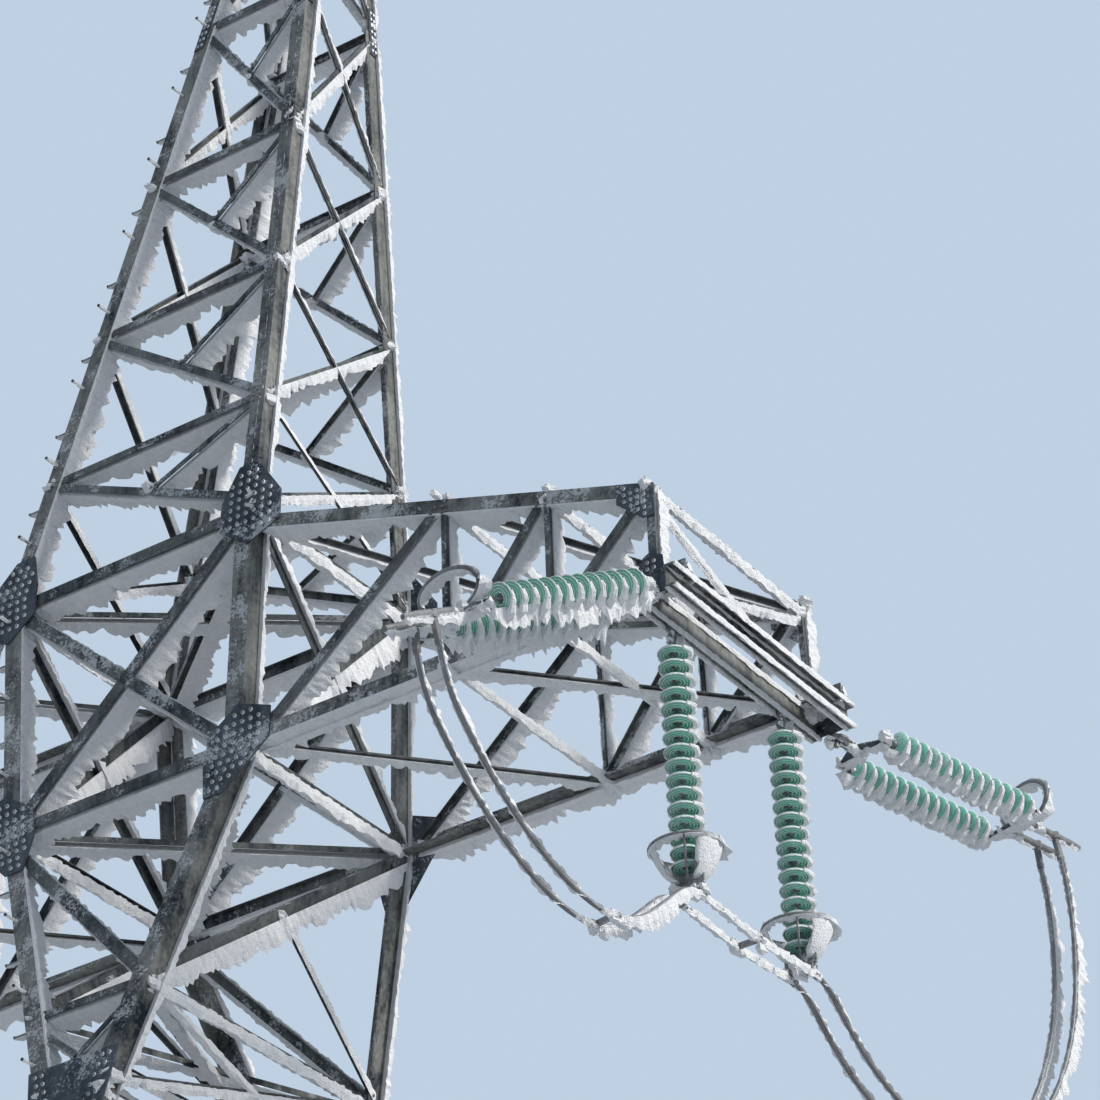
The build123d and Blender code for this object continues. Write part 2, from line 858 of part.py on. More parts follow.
with BuildPart() as dead_end_clamps:
    add([dead_end_clamp(x, end, hand) for x, end in string_ends for hand in (-half_twin, half_twin)])

jumpers = {}
for phase, x in zip(("left", "middle", "right"), phases):
    for twin, hand in (("inner", -half_twin), ("outer", half_twin)):
        points = [point + along * (x + hand) for point in route]
        with BuildPart() as jumper:
            with BuildLine() as path:
                FilletPolyline(*points, radius=jumper_radii(points))
            with BuildSketch(Plane(origin=path.line @ 0, z_dir=path.line % 0)):
                RegularPolygon(conductor_diameter / 2, 6)
            sweep(path=path.line)
        jumpers[f"jumper_{phase}_{twin}"] = jumper

# Support strings hang from the inner channel and hold the jumpers in saddles
first_disc = channel_foot - support_lead
support_discs_set, support_caps_set, saddles = [], [], []
for y in support_seats:
    hanger = bar(support_shift, y, first_disc + seat_fit, channel_foot, 2 * lug_wall, hanger_width)
    support_caps_set.append(hanger)
    for step in range(support_discs):
        crown = first_disc - step * disc_pitch
        low, high = crown - disc_pitch + seat_fit, crown - disc_height - seat_fit
        if step == support_discs - 1:
            low = high - cap_width
        support_discs_set.append(Pos(support_shift, y, crown) * Rot(180, 0, 0) * disc.part)
        support_caps_set.append(bar(support_shift, y, low, high, cap_width, cap_width))
    near = sorted(route, key=lambda point: abs(point.Y - y))[:2]
    seat = middle(*near).Z + conductor_diameter / 2 + conductor_fit
    span = conductor_spread + 2 * conductor_diameter
    saddle = bar(support_shift, y, seat + saddle_height, low, span, yoke_wall)
    for x in (-half_twin, half_twin):
        saddle += bar(support_shift + x, y, seat, seat + saddle_height, conductor_diameter, saddle_length)
    saddles.append(saddle)

phase_frames = [Plane(origin=(x, 0, 0)) for x in phases]
with BuildPart() as support_glass:
    add(repeated(phase_frames, support_discs_set))
with BuildPart() as support_caps:
    add(repeated(phase_frames, support_caps_set))
with BuildPart() as jumper_saddles:
    add(repeated(phase_frames, saddles))

with BuildPart() as jumper_spacers:
    bars = []
    for step in spacer_runs:
        start, stop = route[step], route[step + 1]
        run = (stop - start).normalized()
        side = along - run * run.X
        seat = Plane(origin=middle(start, stop) - run * (spacer_wall / 2), x_dir=side, z_dir=run)
        reach = conductor_spread * seat.x_dir.X - conductor_diameter - 2 * conductor_fit
        with BuildSketch(seat) as section:
            Rectangle(reach, conductor_diameter)
        bars.append(extrude(section.sketch, amount=spacer_wall, mode=Mode.PRIVATE))
    add(repeated(phase_frames, bars))

nodes = {
    "peak_legs": peak_legs,
    "peak_caps": peak_caps,
    "peak_splice_plates": splice_plates,
    "head_legs": head_legs,
    "column_legs": column_legs,
    "mast_diaphragms": diaphragms,
    "column_ties": column_ties,
    "gusset_plates": gusset_plates,
    "base_plates": base_plates,
    "beam_chords": beam_chords,
    "arm_chords": arm_chords,
    "arm_end_frames": arm_end_frames,
    "string_beams": string_beams,
    "string_anchors": string_anchors,
    "tension_yokes": tension_yokes,
    "tension_caps": tension_caps,
    "tension_glass_discs": tension_glass,
    "dead_end_clamps": dead_end_clamps,
    "support_caps": support_caps,
    "support_glass_discs": support_glass,
    "jumper_saddles": jumper_saddles,
    "jumper_spacers": jumper_spacers,
    **jumpers,
}
for pattern, group in (
    ("peak_{}_lattices", peak_faces),
    ("head_{}_lattices", head_faces),
    ("column_{}_lattices", column_faces),
    ("beam_{}_lattice", beam_sides | beam_plans),
    ("arm_{}_lattices", arm_sides | arm_plans),
):
    for key, piece in group.items():
        nodes[pattern.format(key)] = piece

os.makedirs("parts", exist_ok=True)
for name, piece in nodes.items():
    piece.part.label = name
    export_step(piece.part, f"parts/{name}.step")
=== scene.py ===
import math

import bpy
import numpy as np
from mathutils import Matrix, Vector


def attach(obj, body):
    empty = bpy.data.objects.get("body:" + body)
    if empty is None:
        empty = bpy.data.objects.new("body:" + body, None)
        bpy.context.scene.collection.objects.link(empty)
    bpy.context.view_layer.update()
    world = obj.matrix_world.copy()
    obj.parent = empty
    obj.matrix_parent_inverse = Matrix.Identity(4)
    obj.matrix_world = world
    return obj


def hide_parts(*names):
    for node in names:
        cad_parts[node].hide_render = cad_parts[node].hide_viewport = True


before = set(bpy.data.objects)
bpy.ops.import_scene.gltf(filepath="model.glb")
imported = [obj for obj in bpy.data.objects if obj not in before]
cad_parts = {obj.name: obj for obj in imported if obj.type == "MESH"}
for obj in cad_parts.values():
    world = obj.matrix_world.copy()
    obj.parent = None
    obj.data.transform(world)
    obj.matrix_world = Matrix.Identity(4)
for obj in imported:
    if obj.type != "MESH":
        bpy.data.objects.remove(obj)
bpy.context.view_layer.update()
print("frame loaded")

# Camera: the photograph's place and turn, with its lens on a 36 mm sensor
view = {
    "place": (25.022, -24.895, 1.528),
    "right": (0.8276, 0.5598, -0.0407),
    "up": (0.3345, -0.4337, 0.8367),
    "lens": 137.46,
    "sensor": 36.0,
    "clip": (0.5, 400.0),
}


def makeCamera():
    data = bpy.data.cameras.new("towerCamera")
    data.lens, data.sensor_width = view["lens"], view["sensor"]
    data.clip_start, data.clip_end = view["clip"]
    camera = bpy.data.objects.new("towerCamera", data)
    right = Vector(view["right"]).normalized()
    back = right.cross(Vector(view["up"])).normalized()
    turn = Matrix((right, back.cross(right), back)).transposed().to_4x4()
    camera.matrix_world = Matrix.Translation(view["place"]) @ turn
    bpy.context.scene.collection.objects.link(camera)
    bpy.context.scene.camera = camera


makeCamera()

# Setting out of the tower in metres: X across the line, Y along it and Z up
tower = {
    "axis": 5.5,            # middle of each mast from the tower's middle
    "ring": 21.6,           # height of the peaks' foot
    "sill": 19.17,          # height of the lower chords of arms and crossbeam
    "collar": 17.11,        # height of the level in the haunch
    "waist": 16.2,          # height of the columns' head
    "panels": [1.21, 1.53, 1.67, 1.77, 1.70, 1.42, 1.10],   # of the peaks, from the ring up
    "lean": 0.153,          # how far a peak moves outward for each metre of its height
    "halfWidth": (0.35, 0.35, 1.27, 1.375, 0.127),      # foot, waist, sill, ring, top
    "halfDepth": (4.832, 1.19, 1.14, 0.1208),           # foot, sill, ring, top
    "plateWall": 0.04,      # base plates
    "columnPanels": 7,
    "columnGrowth": 1.11,   # height of a column's panel over that of the one above it
    "beamPanels": 4,
    "levelRise": 0.06,      # from a joint's height to the level bar beside it
    "legWall": 0.016,
    "legSize": 0.18,
    "peakWall": 0.014,
    "peakSizes": (0.15, 0.11),      # peak legs below and above their splice
    "splice": 4,            # panels below the splice
    "chordWall": 0.012,
    "chordSize": 0.13,
    "armReaches": (0.0, 1.965, 2.975, 3.955),
    "armRootDrop": 0.15,
    "armTipDrop": 1.46,
    "rootGap": 0.012,       # between the crossbeam's ends and the masts
    "stringLine": 0.095,    # from the arm's tip to the middle of its string beam
}
heavy, wide, light = 0.110, 0.075, 0.050        # flange widths of the braces
peakTop = tower["ring"] + sum(tower["panels"])
widthLevels = (0, tower["waist"], tower["sill"], tower["ring"], peakTop)
depthLevels = (0, tower["sill"], tower["ring"], peakTop)
armTip = tower["axis"] + tower["halfWidth"][3] + tower["armReaches"][-1]
phases = {"left": -(armTip + tower["stringLine"]), "middle": 0.0, "right": armTip + tower["stringLine"]}
windDirection = np.array([0.15, 0.90, -0.38])   # rime grows this way, into the wind
windDirection /= np.linalg.norm(windDirection)
upward = np.array([0.0, 0.0, 1.0])

# Jumpers: one smooth line for each conductor, from socket mouth to socket mouth
jumper = {
    "spread": 0.2,
    "diameter": 0.044,
    "length": 11.23,
    "mouths": ((-0.6011, -3.5718, 17.5915), (0.5929, 3.9531, 18.6682)),
    "fromAxis": -5.425,     # the route's X is counted from the mast's axis, its Z from the ring
    "route": (
        (4.800, -3.480, -4.270), (4.835, -3.150, -4.690), (4.905, -2.800, -5.090),
        (5.000, -2.440, -5.420), (5.085, -2.040, -5.610), (5.160, -1.640, -5.580),
        (5.220, -1.320, -5.310), (5.258, -1.030, -5.035), (5.260, -0.658, -5.035),
        (5.262, -0.230, -5.075), (5.262, 0.210, -5.070), (5.260, 0.611, -5.035),
        (5.264, 0.983, -5.035), (5.320, 1.190, -5.370), (5.400, 1.440, -5.710),
        (5.500, 1.820, -5.980), (5.620, 2.280, -6.085), (5.740, 2.740, -5.990),
        (5.840, 3.170, -5.690), (5.915, 3.530, -5.250), (5.965, 3.800, -4.740),
        (6.000, 3.960, -4.200), (6.020, 4.020, -3.660), (6.030, 3.990, -3.160),
    ),
    "order": 3,
    "resolution": 6,
    "sides": 3,
}


def jumperPoints(x):
    middle = [(a + jumper["fromAxis"] + x, b, c + tower["ring"]) for a, b, c in jumper["route"]]
    first, last = ((a + x, b, c) for a, b, c in jumper["mouths"])
    return [first] + middle + [last]


def makeJumper(name, x):
    # A smooth curve drawn along by the route's points; its bare line is read before the bevel makes it round
    curve = bpy.data.curves.new(name, "CURVE")
    curve.dimensions = "3D"
    spline = curve.splines.new("NURBS")
    points = jumperPoints(x)
    spline.points.add(len(points) - 1)
    spline.points.foreach_set("co", np.array([(*p, 1) for p in points], np.float32).ravel())
    spline.order_u = jumper["order"]
    spline.use_endpoint_u = True
    spline.resolution_u = jumper["resolution"]
    # The bevel is 1 m times each point's radius, so that the curve's box is its real one
    spline.points.foreach_set("radius", np.full(len(points), jumper["diameter"] / 2, np.float32))
    piece = bpy.data.objects.new(name, curve)
    bpy.context.scene.collection.objects.link(piece)
    line = bpy.data.meshes.new_from_object(piece)
    followed = np.empty(len(line.vertices) * 3)
    line.vertices.foreach_get("co", followed)
    bpy.data.meshes.remove(line)
    curve.bevel_depth = 1.0
    curve.bevel_resolution = jumper["sides"]
    curve.use_fill_caps = True
    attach(piece, "root")
    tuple(points[0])
    return piece, followed.reshape(-1, 3)


jumpers, jumperLines = [], []
for phase, x in phases.items():
    for twin, shift in (("inner", -jumper["spread"] / 2), ("outer", jumper["spread"] / 2)):
        piece, line = makeJumper(f"jumper{phase.title()}{twin.title()}", x + shift)
        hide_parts(f"jumper_{phase}_{twin}")
        jumpers.append(piece)
        jumperLines.append(line)
print("jumpers made")


# Shader groups. Each one puts out masks and values only
def newGroup(name, inputs, outputs):
    tree = bpy.data.node_groups.new(name, "ShaderNodeTree")
    for label, value in inputs.items():
        socket = tree.interface.new_socket(label, in_out="INPUT", socket_type="NodeSocketFloat")
        socket.default_value = value
    for label in outputs:
        tree.interface.new_socket(label, in_out="OUTPUT", socket_type="NodeSocketFloat")
    return tree, tree.nodes.new("NodeGroupInput").outputs, tree.nodes.new("NodeGroupOutput")


def feed(tree, node, inputs):
    # Inputs by name or place: a socket is linked, a value is set
    for key, value in inputs.items():
        if isinstance(value, bpy.types.NodeSocket):
            tree.links.new(value, node.inputs[key])
        else:
            node.inputs[key].default_value = value


def put(tree, kind, inputs=None, **settings):
    node = tree.nodes.new(kind)
    for key, value in settings.items():
        setattr(node, key, value)
    feed(tree, node, inputs or {})
    return node


def maths(tree, operation, a, b=0.0, clamp=False):
    return put(tree, "ShaderNodeMath", {0: a, 1: b}, operation=operation, use_clamp=clamp).outputs[0]


def weighed(tree, *pairs):
    # The sum of several values, each times its weight
    total, *others = (maths(tree, "MULTIPLY", value, weight) for value, weight in pairs)
    for other in others:
        total = maths(tree, "ADD", total, other)
    return total


def spread(tree, value, low, high, first=0.0, last=1.0):
    # A value from low to high carried to first to last, smoothly and clamped
    ends = {0: value, 1: low, 2: high, 3: first, 4: last}
    return put(tree, "ShaderNodeMapRange", ends, interpolation_type="SMOOTHSTEP").outputs[0]


def noise(tree, place, scale, detail=3.0, rough=0.55):
    inputs = {"Vector": place, "Scale": scale, "Detail": detail, "Roughness": rough}
    return put(tree, "ShaderNodeTexNoise", inputs).outputs["Fac"]


def objectPlace(tree):
    return tree.nodes.new("ShaderNodeTexCoord").outputs["Object"]


def blendColour(tree, share, a, b):
    return put(tree, "ShaderNodeMix", {0: share, 6: a, 7: b}, data_type="RGBA").outputs[2]


def makeZincGroup():
    # Galvanised skin: crystals a few centimetres across, broad weather patches with runs, and fine pits. The
    # patches darken the skin toward its dark tone, so they carry grime and painted shade alike
    inputs = {"Crystals": 30.0, "GrimeAndShade": 0.5}
    tree, given, result = newGroup("zincSkin", inputs, ("Tone", "Roughness", "Pits"))
    place = objectPlace(tree)
    cells = put(tree, "ShaderNodeTexVoronoi", {"Vector": place, "Scale": given["Crystals"]})
    grain = put(tree, "ShaderNodeSeparateColor", {0: cells.outputs["Color"]}).outputs[0]
    upright = put(tree, "ShaderNodeMapping", {"Vector": place, "Scale": (9.0, 9.0, 0.8)}).outputs[0]
    weather = weighed(tree, (noise(tree, place, 1.7, 4.0), 0.6), (noise(tree, upright, 1.3), 0.4))
    clean = maths(tree, "ADD", maths(tree, "MULTIPLY", grain, 0.30), 0.70)
    # grime and painted shade: the weather patches, times this share, pull the skin toward the painted-shade
    # dark tone
    grimeAndShade = maths(tree, "MULTIPLY", spread(tree, weather, 0.38, 0.68), given["GrimeAndShade"])
    pits = maths(tree, "ADD", maths(tree, "MULTIPLY", grain, 0.3), noise(tree, place, 160.0, 2.0))
    feed(tree, result, {
        "Tone": maths(tree, "SUBTRACT", clean, grimeAndShade, True),
        "Roughness": spread(tree, weather, 0.3, 0.7, 0.42, 0.66),
        "Pits": pits,
    })
    return tree


def makeFrostGroup():
    # Rime crust: full where a face looks into the wind, in broken patches elsewhere, a thin film on the lee
    tree, given, result = newGroup("frostCrust", {"Amount": 0.5, "Grain": 40.0}, ("Cover", "Lumps"))
    place = objectPlace(tree)
    facing = tree.nodes.new("ShaderNodeNewGeometry").outputs["Normal"]
    product = put(tree, "ShaderNodeVectorMath", {0: facing, 1: tuple(windDirection)}, operation="DOT_PRODUCT")
    into = product.outputs["Value"]
    broad, fine = noise(tree, place, 3.1, 4.0, 0.6), noise(tree, place, given["Grain"], 3.0, 0.7)
    ragged = weighed(tree, (broad, 0.9), (fine, 0.7))
    pushed = maths(tree, "ADD", maths(tree, "MULTIPLY", into, 0.62), ragged)
    crust = spread(tree, maths(tree, "ADD", pushed, given["Amount"]), 1.30, 1.52)
    lee = maths(tree, "MULTIPLY", spread(tree, into, -0.4, -0.85), spread(tree, ragged, 0.83, 0.95))
    film = maths(tree, "MULTIPLY", lee, 0.45)
    cover = maths(tree, "MAXIMUM", crust, film)
    feed(tree, result, {"Cover": cover, "Lumps": maths(tree, "MULTIPLY", fine, cover)})
    return tree


zincSkin, frostCrust = makeZincGroup(), makeFrostGroup()

# Metals: name, dark and pale tone, metallic share, grime and painted-shade share, rime, and how many crystals
# to the metre. Legs, braces and plates are one galvanised steel: the blue near-black dark tones, the braces'
# darker pale and the plates' darker, bluer pale are painted shade, and the legs' lighter, warmer pale is
# painted sunlight
metals = {
    "legs": ("galvanisedLegs", (0.008, 0.015, 0.023), (0.250, 0.252, 0.232), 0.25, 0.76, 0.00, 30.0),
    "braces": ("galvanisedBraces", (0.006, 0.013, 0.021), (0.150, 0.158, 0.153), 0.25, 0.78, 0.05, 30.0),
    "plates": ("galvanisedPlates", (0.008, 0.014, 0.022), (0.095, 0.110, 0.130), 0.25, 0.68, 0.00, 30.0),
    "fittings": ("forgedFittings", (0.070, 0.076, 0.082), (0.260, 0.262, 0.262), 0.40, 0.60, 0.28, 60.0),
    "bolts": ("frostedBolts", (0.110, 0.116, 0.122), (0.300, 0.302, 0.302), 0.30, 0.50, 0.85, 60.0),
}
tones = {
    "crust": (0.86, 0.89, 0.92, 1),
    # rime: its blue-grey tone is painted shade for the hollows, its white the rime's own colour
    "rime": ((0.84, 0.87, 0.91, 1), (0.97, 0.975, 0.98, 1)),
    "glass": ((0.110, 0.520, 0.365, 1), (0.400, 0.840, 0.690, 1)),
    "conductor": ((0.10, 0.105, 0.115, 1), (0.30, 0.30, 0.295, 1)),
}


def newMaterial(name):
    material = bpy.data.materials.new(name)
    material.use_nodes = True
    tree = material.node_tree
    return material, tree, tree.nodes["Principled BSDF"]


def frostOver(tree, shader, skin, amount, grain=40.0):
    # Covers the skin's colour with the crust, and gives the crust's cover and lumps
    crust = put(tree, "ShaderNodeGroup", {"Amount": amount, "Grain": grain}, node_tree=frostCrust).outputs
    feed(tree, shader, {"Base Color": blendColour(tree, crust["Cover"], skin, tones["crust"])})
    return crust["Cover"], crust["Lumps"]


def relief(tree, shader, height, strength, distance):
    bump = put(tree, "ShaderNodeBump", {"Strength": strength, "Distance": distance, "Height": height})
    feed(tree, shader, {"Normal": bump.outputs[0]})


def frostedMetal(name, paintedShadeDark, pale, metal, grimeAndShade, frost, crystals):
    # Weathered galvanised metal under a broken crust of rime; its dark tone is painted shade
    material, tree, shader = newMaterial(name)
    zinc = put(tree, "ShaderNodeGroup", {"Crystals": crystals, "GrimeAndShade": grimeAndShade}, node_tree=zincSkin).outputs
    # painted shade: the skin runs from the pale tone down to the dark, painted-shade tone
    skin = blendColour(tree, zinc["Tone"], (*paintedShadeDark, 1), (*pale, 1))
    cover, lumps = frostOver(tree, shader, skin, frost)
    bare = maths(tree, "SUBTRACT", 1.0, cover)
    feed(tree, shader, {
        "Metallic": maths(tree, "MULTIPLY", bare, metal),
        "Roughness": weighed(tree, (zinc["Roughness"], bare), (cover, 0.9)),
        "Specular IOR Level": 0.2,
    })
    relief(tree, shader, maths(tree, "ADD", maths(tree, "MULTIPLY", zinc["Pits"], 0.15), lumps), 0.25, 0.01)
    return material


def makeRimeMaterial():
    # Packed rime feathers: white, with blue-grey painted shade in the hollows and a fine crystal relief
    material, tree, shader = newMaterial("rimeFeathers")
    place = objectPlace(tree)
    broad, fine = noise(tree, place, 17.0, 4.0, 0.65), noise(tree, place, 70.0, 3.0, 0.7)
    # painted shade: the colour falls to blue-grey where the relief's noise is low, in its hollows
    paintedHollowShade = spread(tree, weighed(tree, (broad, 0.6), (fine, 0.4)), 0.32, 0.62)
    feed(tree, shader, {
        "Base Color": blendColour(tree, paintedHollowShade, *tones["rime"]),
        "Roughness": 0.85,
        "Specular IOR Level": 0.3,
    })
    relief(tree, shader, maths(tree, "ADD", broad, fine), 0.85, 0.03)
    return material


def makeGlassMaterial():
    # Green toughened glass with a breath of frost on it
    material, tree, shader = newMaterial("insulatorGlass")
    green = blendColour(tree, noise(tree, objectPlace(tree), 14.0), *tones["glass"])
    cover = frostOver(tree, shader, green, 0.02, 55.0)[0]
    feed(tree, shader, {
        "Roughness": spread(tree, cover, 0.0, 1.0, 0.08, 0.8),
        "Transmission Weight": 0.25,
        "IOR": 1.5,
        "Coat Weight": 0.3,
    })
    return material


def makeConductorMaterial():
    # Aluminium strands laid round the tube, dulled by weather and frosted on the windward side
    material, tree, shader = newMaterial("conductorStrands")
    flat = tree.nodes.new("ShaderNodeTexCoord").outputs["UV"]
    lay = {"Vector": flat, "Scale": (170.0, 12.0, 1.0), "Rotation": (0.0, 0.0, 0.35)}
    wound = put(tree, "ShaderNodeMapping", lay).outputs[0]
    strands = put(tree, "ShaderNodeTexWave", {"Vector": wound, "Scale": 1.0}).outputs["Fac"]
    skin = blendColour(tree, noise(tree, objectPlace(tree), 6.0), *tones["conductor"])
    cover, lumps = frostOver(tree, shader, skin, 0.02, 60.0)
    feed(tree, shader, {
        "Metallic": maths(tree, "MULTIPLY", maths(tree, "SUBTRACT", 1.0, cover), 0.5),
        "Roughness": spread(tree, cover, 0.0, 1.0, 0.45, 0.9),
    })
    relief(tree, shader, maths(tree, "ADD", maths(tree, "MULTIPLY", strands, 0.5), lumps), 0.4, 0.006)
    return material


materials = {key: frostedMetal(*metal) for key, metal in metals.items()}
materials["rime"] = makeRimeMaterial()
materials["glass"] = makeGlassMaterial()
materials["conductor"] = makeConductorMaterial()
print("materials made")


# Meshes from whole arrays
def newPiece(name, points, faces, finish, slot, shares=None, smooth=False):
    # One object from its points and face arrays; shares are the faces' materials as places in finish
    mesh = bpy.data.meshes.new(name)
    counts = np.concatenate([np.full(len(f), f.shape[1]) for f in faces])
    loops = np.concatenate([f.ravel() for f in faces])
    mesh.vertices.add(len(points))
    mesh.vertices.foreach_set("co", np.asarray(points, np.float32).ravel())
    mesh.loops.add(len(loops))
    mesh.loops.foreach_set("vertex_index", loops.astype(np.int32))
    mesh.polygons.add(len(counts))
    starts = np.concatenate([[0], np.cumsum(counts)[:-1]])
    mesh.polygons.foreach_set("loop_start", starts.astype(np.int32))
    mesh.polygons.foreach_set("use_smooth", np.full(len(counts), smooth))
    for key in finish:
        mesh.materials.append(materials[key])
    if shares is not None:
        mesh.polygons.foreach_set("material_index", np.concatenate(shares).astype(np.int32))
    mesh.update(calc_edges=True)
    mesh.validate()
    piece = bpy.data.objects.new(name, mesh)
    bpy.context.scene.collection.objects.link(piece)
    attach(piece, "root")
    return piece


def unit(v):
    v = np.asarray(v, float)
    return v / np.maximum(np.linalg.norm(v, axis=-1, keepdims=True), 1e-9)


def joined(parts):
    # Several (points, faces) pairs as one
    points, faces, base = [], [], 0
    for p, fs in parts:
        points.append(p)
        faces += [f + base for f in fs]
        base += len(p)
    return np.concatenate(points), faces


flipX = np.array([-1.0, 1.0, 1.0])      # from the right mast to the left one


def mirrored(bars):
    # The same bars on both masts
    return bars + [{**bar, **{key: bar[key] * flipX for key in "abn"}} for bar in bars]


def mirroredBolts(centres, normals):
    # The same bolts on both masts
    c, n = np.concatenate(centres), np.concatenate(normals)
    return np.concatenate([c, c * flipX]), np.concatenate([n, n * flipX])


def mirroredSolids(points, faces):
    # The same solids on both masts, with the left ones' faces turned round to look outward again
    return joined([(points, faces), (points * flipX, [f[:, ::-1] for f in faces])])


def ringFaces(rings, sides):
    # Quads between neighbouring rings of points, for points numbered ring by ring
    i = np.arange(rings - 1)[:, None] * sides
    j = np.arange(sides)[None]
    k = (j + 1) % sides
    return np.stack([i + j, i + k, i + sides + k, i + sides + j], -1).reshape(-1, 4)


def tubeFaces(rings, sides):
    # The same quads with one face over each end
    i = np.arange(sides)[None]
    return [ringFaces(rings, sides), i[:, ::-1], i + (rings - 1) * sides]


def prisms(foot, head):
    # Closed prisms, each one between a ring of points at its foot and the same ring at its head
    count, sides = foot.shape[:2]
    base = np.arange(count)[:, None, None] * 2 * sides
    faces = [(base + f[None]).reshape(-1, f.shape[1]) for f in tubeFaces(2, sides)]
    return np.stack([foot, head], 1).reshape(-1, 3), faces


def circle(u, v, sides):
    # Points round a unit circle: u times the cosine and v times the sine, for one pair of directions or many
    turn = np.arange(sides)[:, None] * 2 * math.pi / sides
    return u[..., None, :] * np.cos(turn) + v[..., None, :] * np.sin(turn)


def circleAcross(n, sides):
    # A unit circle square to each direction
    helper = np.where(np.abs(n[:, 2:]) > 0.9, [[1.0, 0, 0]], [[0, 0, 1.0]])
    u = unit(np.cross(helper, n))
    return circle(u, np.cross(n, u), sides)


def roundBars(starts, ends, radius, sides=6):
    # Straight rods: a circle of points at each end
    a, b = np.asarray(starts, float), np.asarray(ends, float)
    ring = circleAcross(unit(b - a), sides) * radius
    return prisms(a[:, None] + ring, b[:, None] + ring)


def turned(profile, origin, run, across, sides):
    # A surface of revolution: each (distance, radius) pair becomes a ring round the line
    ring = circle(across, np.cross(run, across), sides)
    points = origin + profile[:, 0][:, None, None] * run + profile[:, 1][:, None, None] * ring[None]
    return points.reshape(-1, 3), tubeFaces(len(profile), sides)


def carried(path, radius, sides, closed=False):
    # A tube: a ring of points at each path point, square to the path and turned as little as possible
    path = np.asarray(path, float)
    if closed:
        n = unit(np.roll(path, -1, 0) - np.roll(path, 1, 0))
        spine = unit(np.cross(n[0], n[len(n) // 4]))
    else:
        n = unit(np.gradient(path, axis=0))
        spine = unit(np.cross(n.mean(0) + [0.01, 0.02, 0.03], n[0]))
    u = unit(np.cross(n, np.cross(np.broadcast_to(spine, n.shape), n)))
    rings = path[:, None] + circle(u, np.cross(n, u), sides) * np.reshape(radius, (-1, 1, 1))
    count = len(path)
    faces = [ringFaces(count + 1, sides) % (count * sides)] if closed else tubeFaces(count, sides)
    return rings.reshape(-1, 3), faces


def oval(middle, u, v, count):
    # A closed loop of points: the middle plus u times the cosine and v times the sine
    turn = np.linspace(0, 2 * math.pi, count + 1)[:-1, None]
    return middle + u * np.cos(turn) + v * np.sin(turn)


# Geometry of the masts, the same as in the frame
def halfDepth(z):
    return np.interp(z, depthLevels, tower["halfDepth"])


def offsetX(side, z):
    lean = tower["lean"] * np.maximum(z - tower["ring"], 0)
    return side * np.interp(z, widthLevels, tower["halfWidth"]) + lean


def corner(side, end, z):
    return np.array([tower["axis"] + offsetX(side, z), end * halfDepth(z), z])


mastFaces = {
    "front": ((1, -1), (-1, -1)),
    "rear": ((1, 1), (-1, 1)),
    "outer": ((1, -1), (1, 1)),
    "inner": ((-1, -1), (-1, 1)),
}


def spot(face, across, z):
    first, second = (corner(side, end, z) for side, end in mastFaces[face])
    return first + (second - first) * across


def mastMiddle(z):
    return np.array([tower["axis"] + (offsetX(1, z) + offsetX(-1, z)) / 2, 0, z])


def inward(a, b, c, inside):
    normal = unit(np.cross(b - a, c - a))
    return normal if normal @ (inside - a) > 0 else -normal


braceForm = {
    "depth": 0.055,
    "thickness": 0.008,
    "inwardShare": 0.85,    # the inward flange is at most this share of the other
    "endClear": 0.014,      # a bar's end stops this far from its neighbour's corner line
    "planGap": 0.05,        # from the side braces to the ends of a flat cross
    "frameInset": 0.08,     # from the arm's corners to the cross at its tip
    "frameDrop": 0.13,
}


def endCut(a, b, edges, width, clear):
    # How far a bar is cut back at a, so that its square end stays clear of the corner line there
    run, cut = unit(b - a), 0.0
    for point, direction in edges:
        if np.linalg.norm(np.cross(a - point, direction)) < 1e-3:
            slant = np.linalg.norm(np.cross(run, direction))
            cut = max(cut, (clear + width / 2 * abs(run @ direction)) / slant)
    return cut


def webBars(members, normal, edges, wall):
    # Bars on the inside of a face's flanges, with their ends cut clear of the corners
    bars = []
    for a, b, width in members:
        run, clear = unit(b - a), wall + braceForm["endClear"]
        first, last = endCut(a, b, edges, width, clear), endCut(b, a, edges, width, clear)
        seat = normal * wall
        bars.append({"a": a + run * first + seat, "b": b - run * last + seat, "w": width, "n": normal})
    return bars


def mastWeb(face, low, high, members, wall):
    feet, tops = ([spot(face, across, z) for across in (0, 1)] for z in (low, high))
    edges = [(foot, unit(top - foot)) for foot, top in zip(feet, tops)]
    normal = inward(feet[0], feet[1], tops[0], mastMiddle((low + high) / 2))
    return webBars(members, normal, edges, wall)


def crossed(face, low, high, width):
    return [(spot(face, s, low), spot(face, 1 - s, high), width) for s in (0, 1)]


def level(face, z, width):
    return [(spot(face, 0, z), spot(face, 1, z), width)]


peakLevels = tower["ring"] + np.concatenate([[0], np.cumsum(tower["panels"])])


def peakWeb(face):
    # Levels, falling long diagonals and half diagonals on the front and rear, crosses on the sides
    members = []
    for low, high in zip(peakLevels, peakLevels[1:]):
        foot = max(low, tower["ring"] + tower["levelRise"])
        if face in ("outer", "inner"):
            members += crossed(face, foot, high, light)
            continue
        a, b = spot(face, 1, high), spot(face, 0, foot)
        members.append((a, b, wide))
        if high < peakLevels[-1]:
            members += level(face, high, wide)
            members.append((spot(face, 0, high), (a + b) / 2, light))
    return mastWeb(face, tower["ring"], peakTop, members, tower["peakWall"])


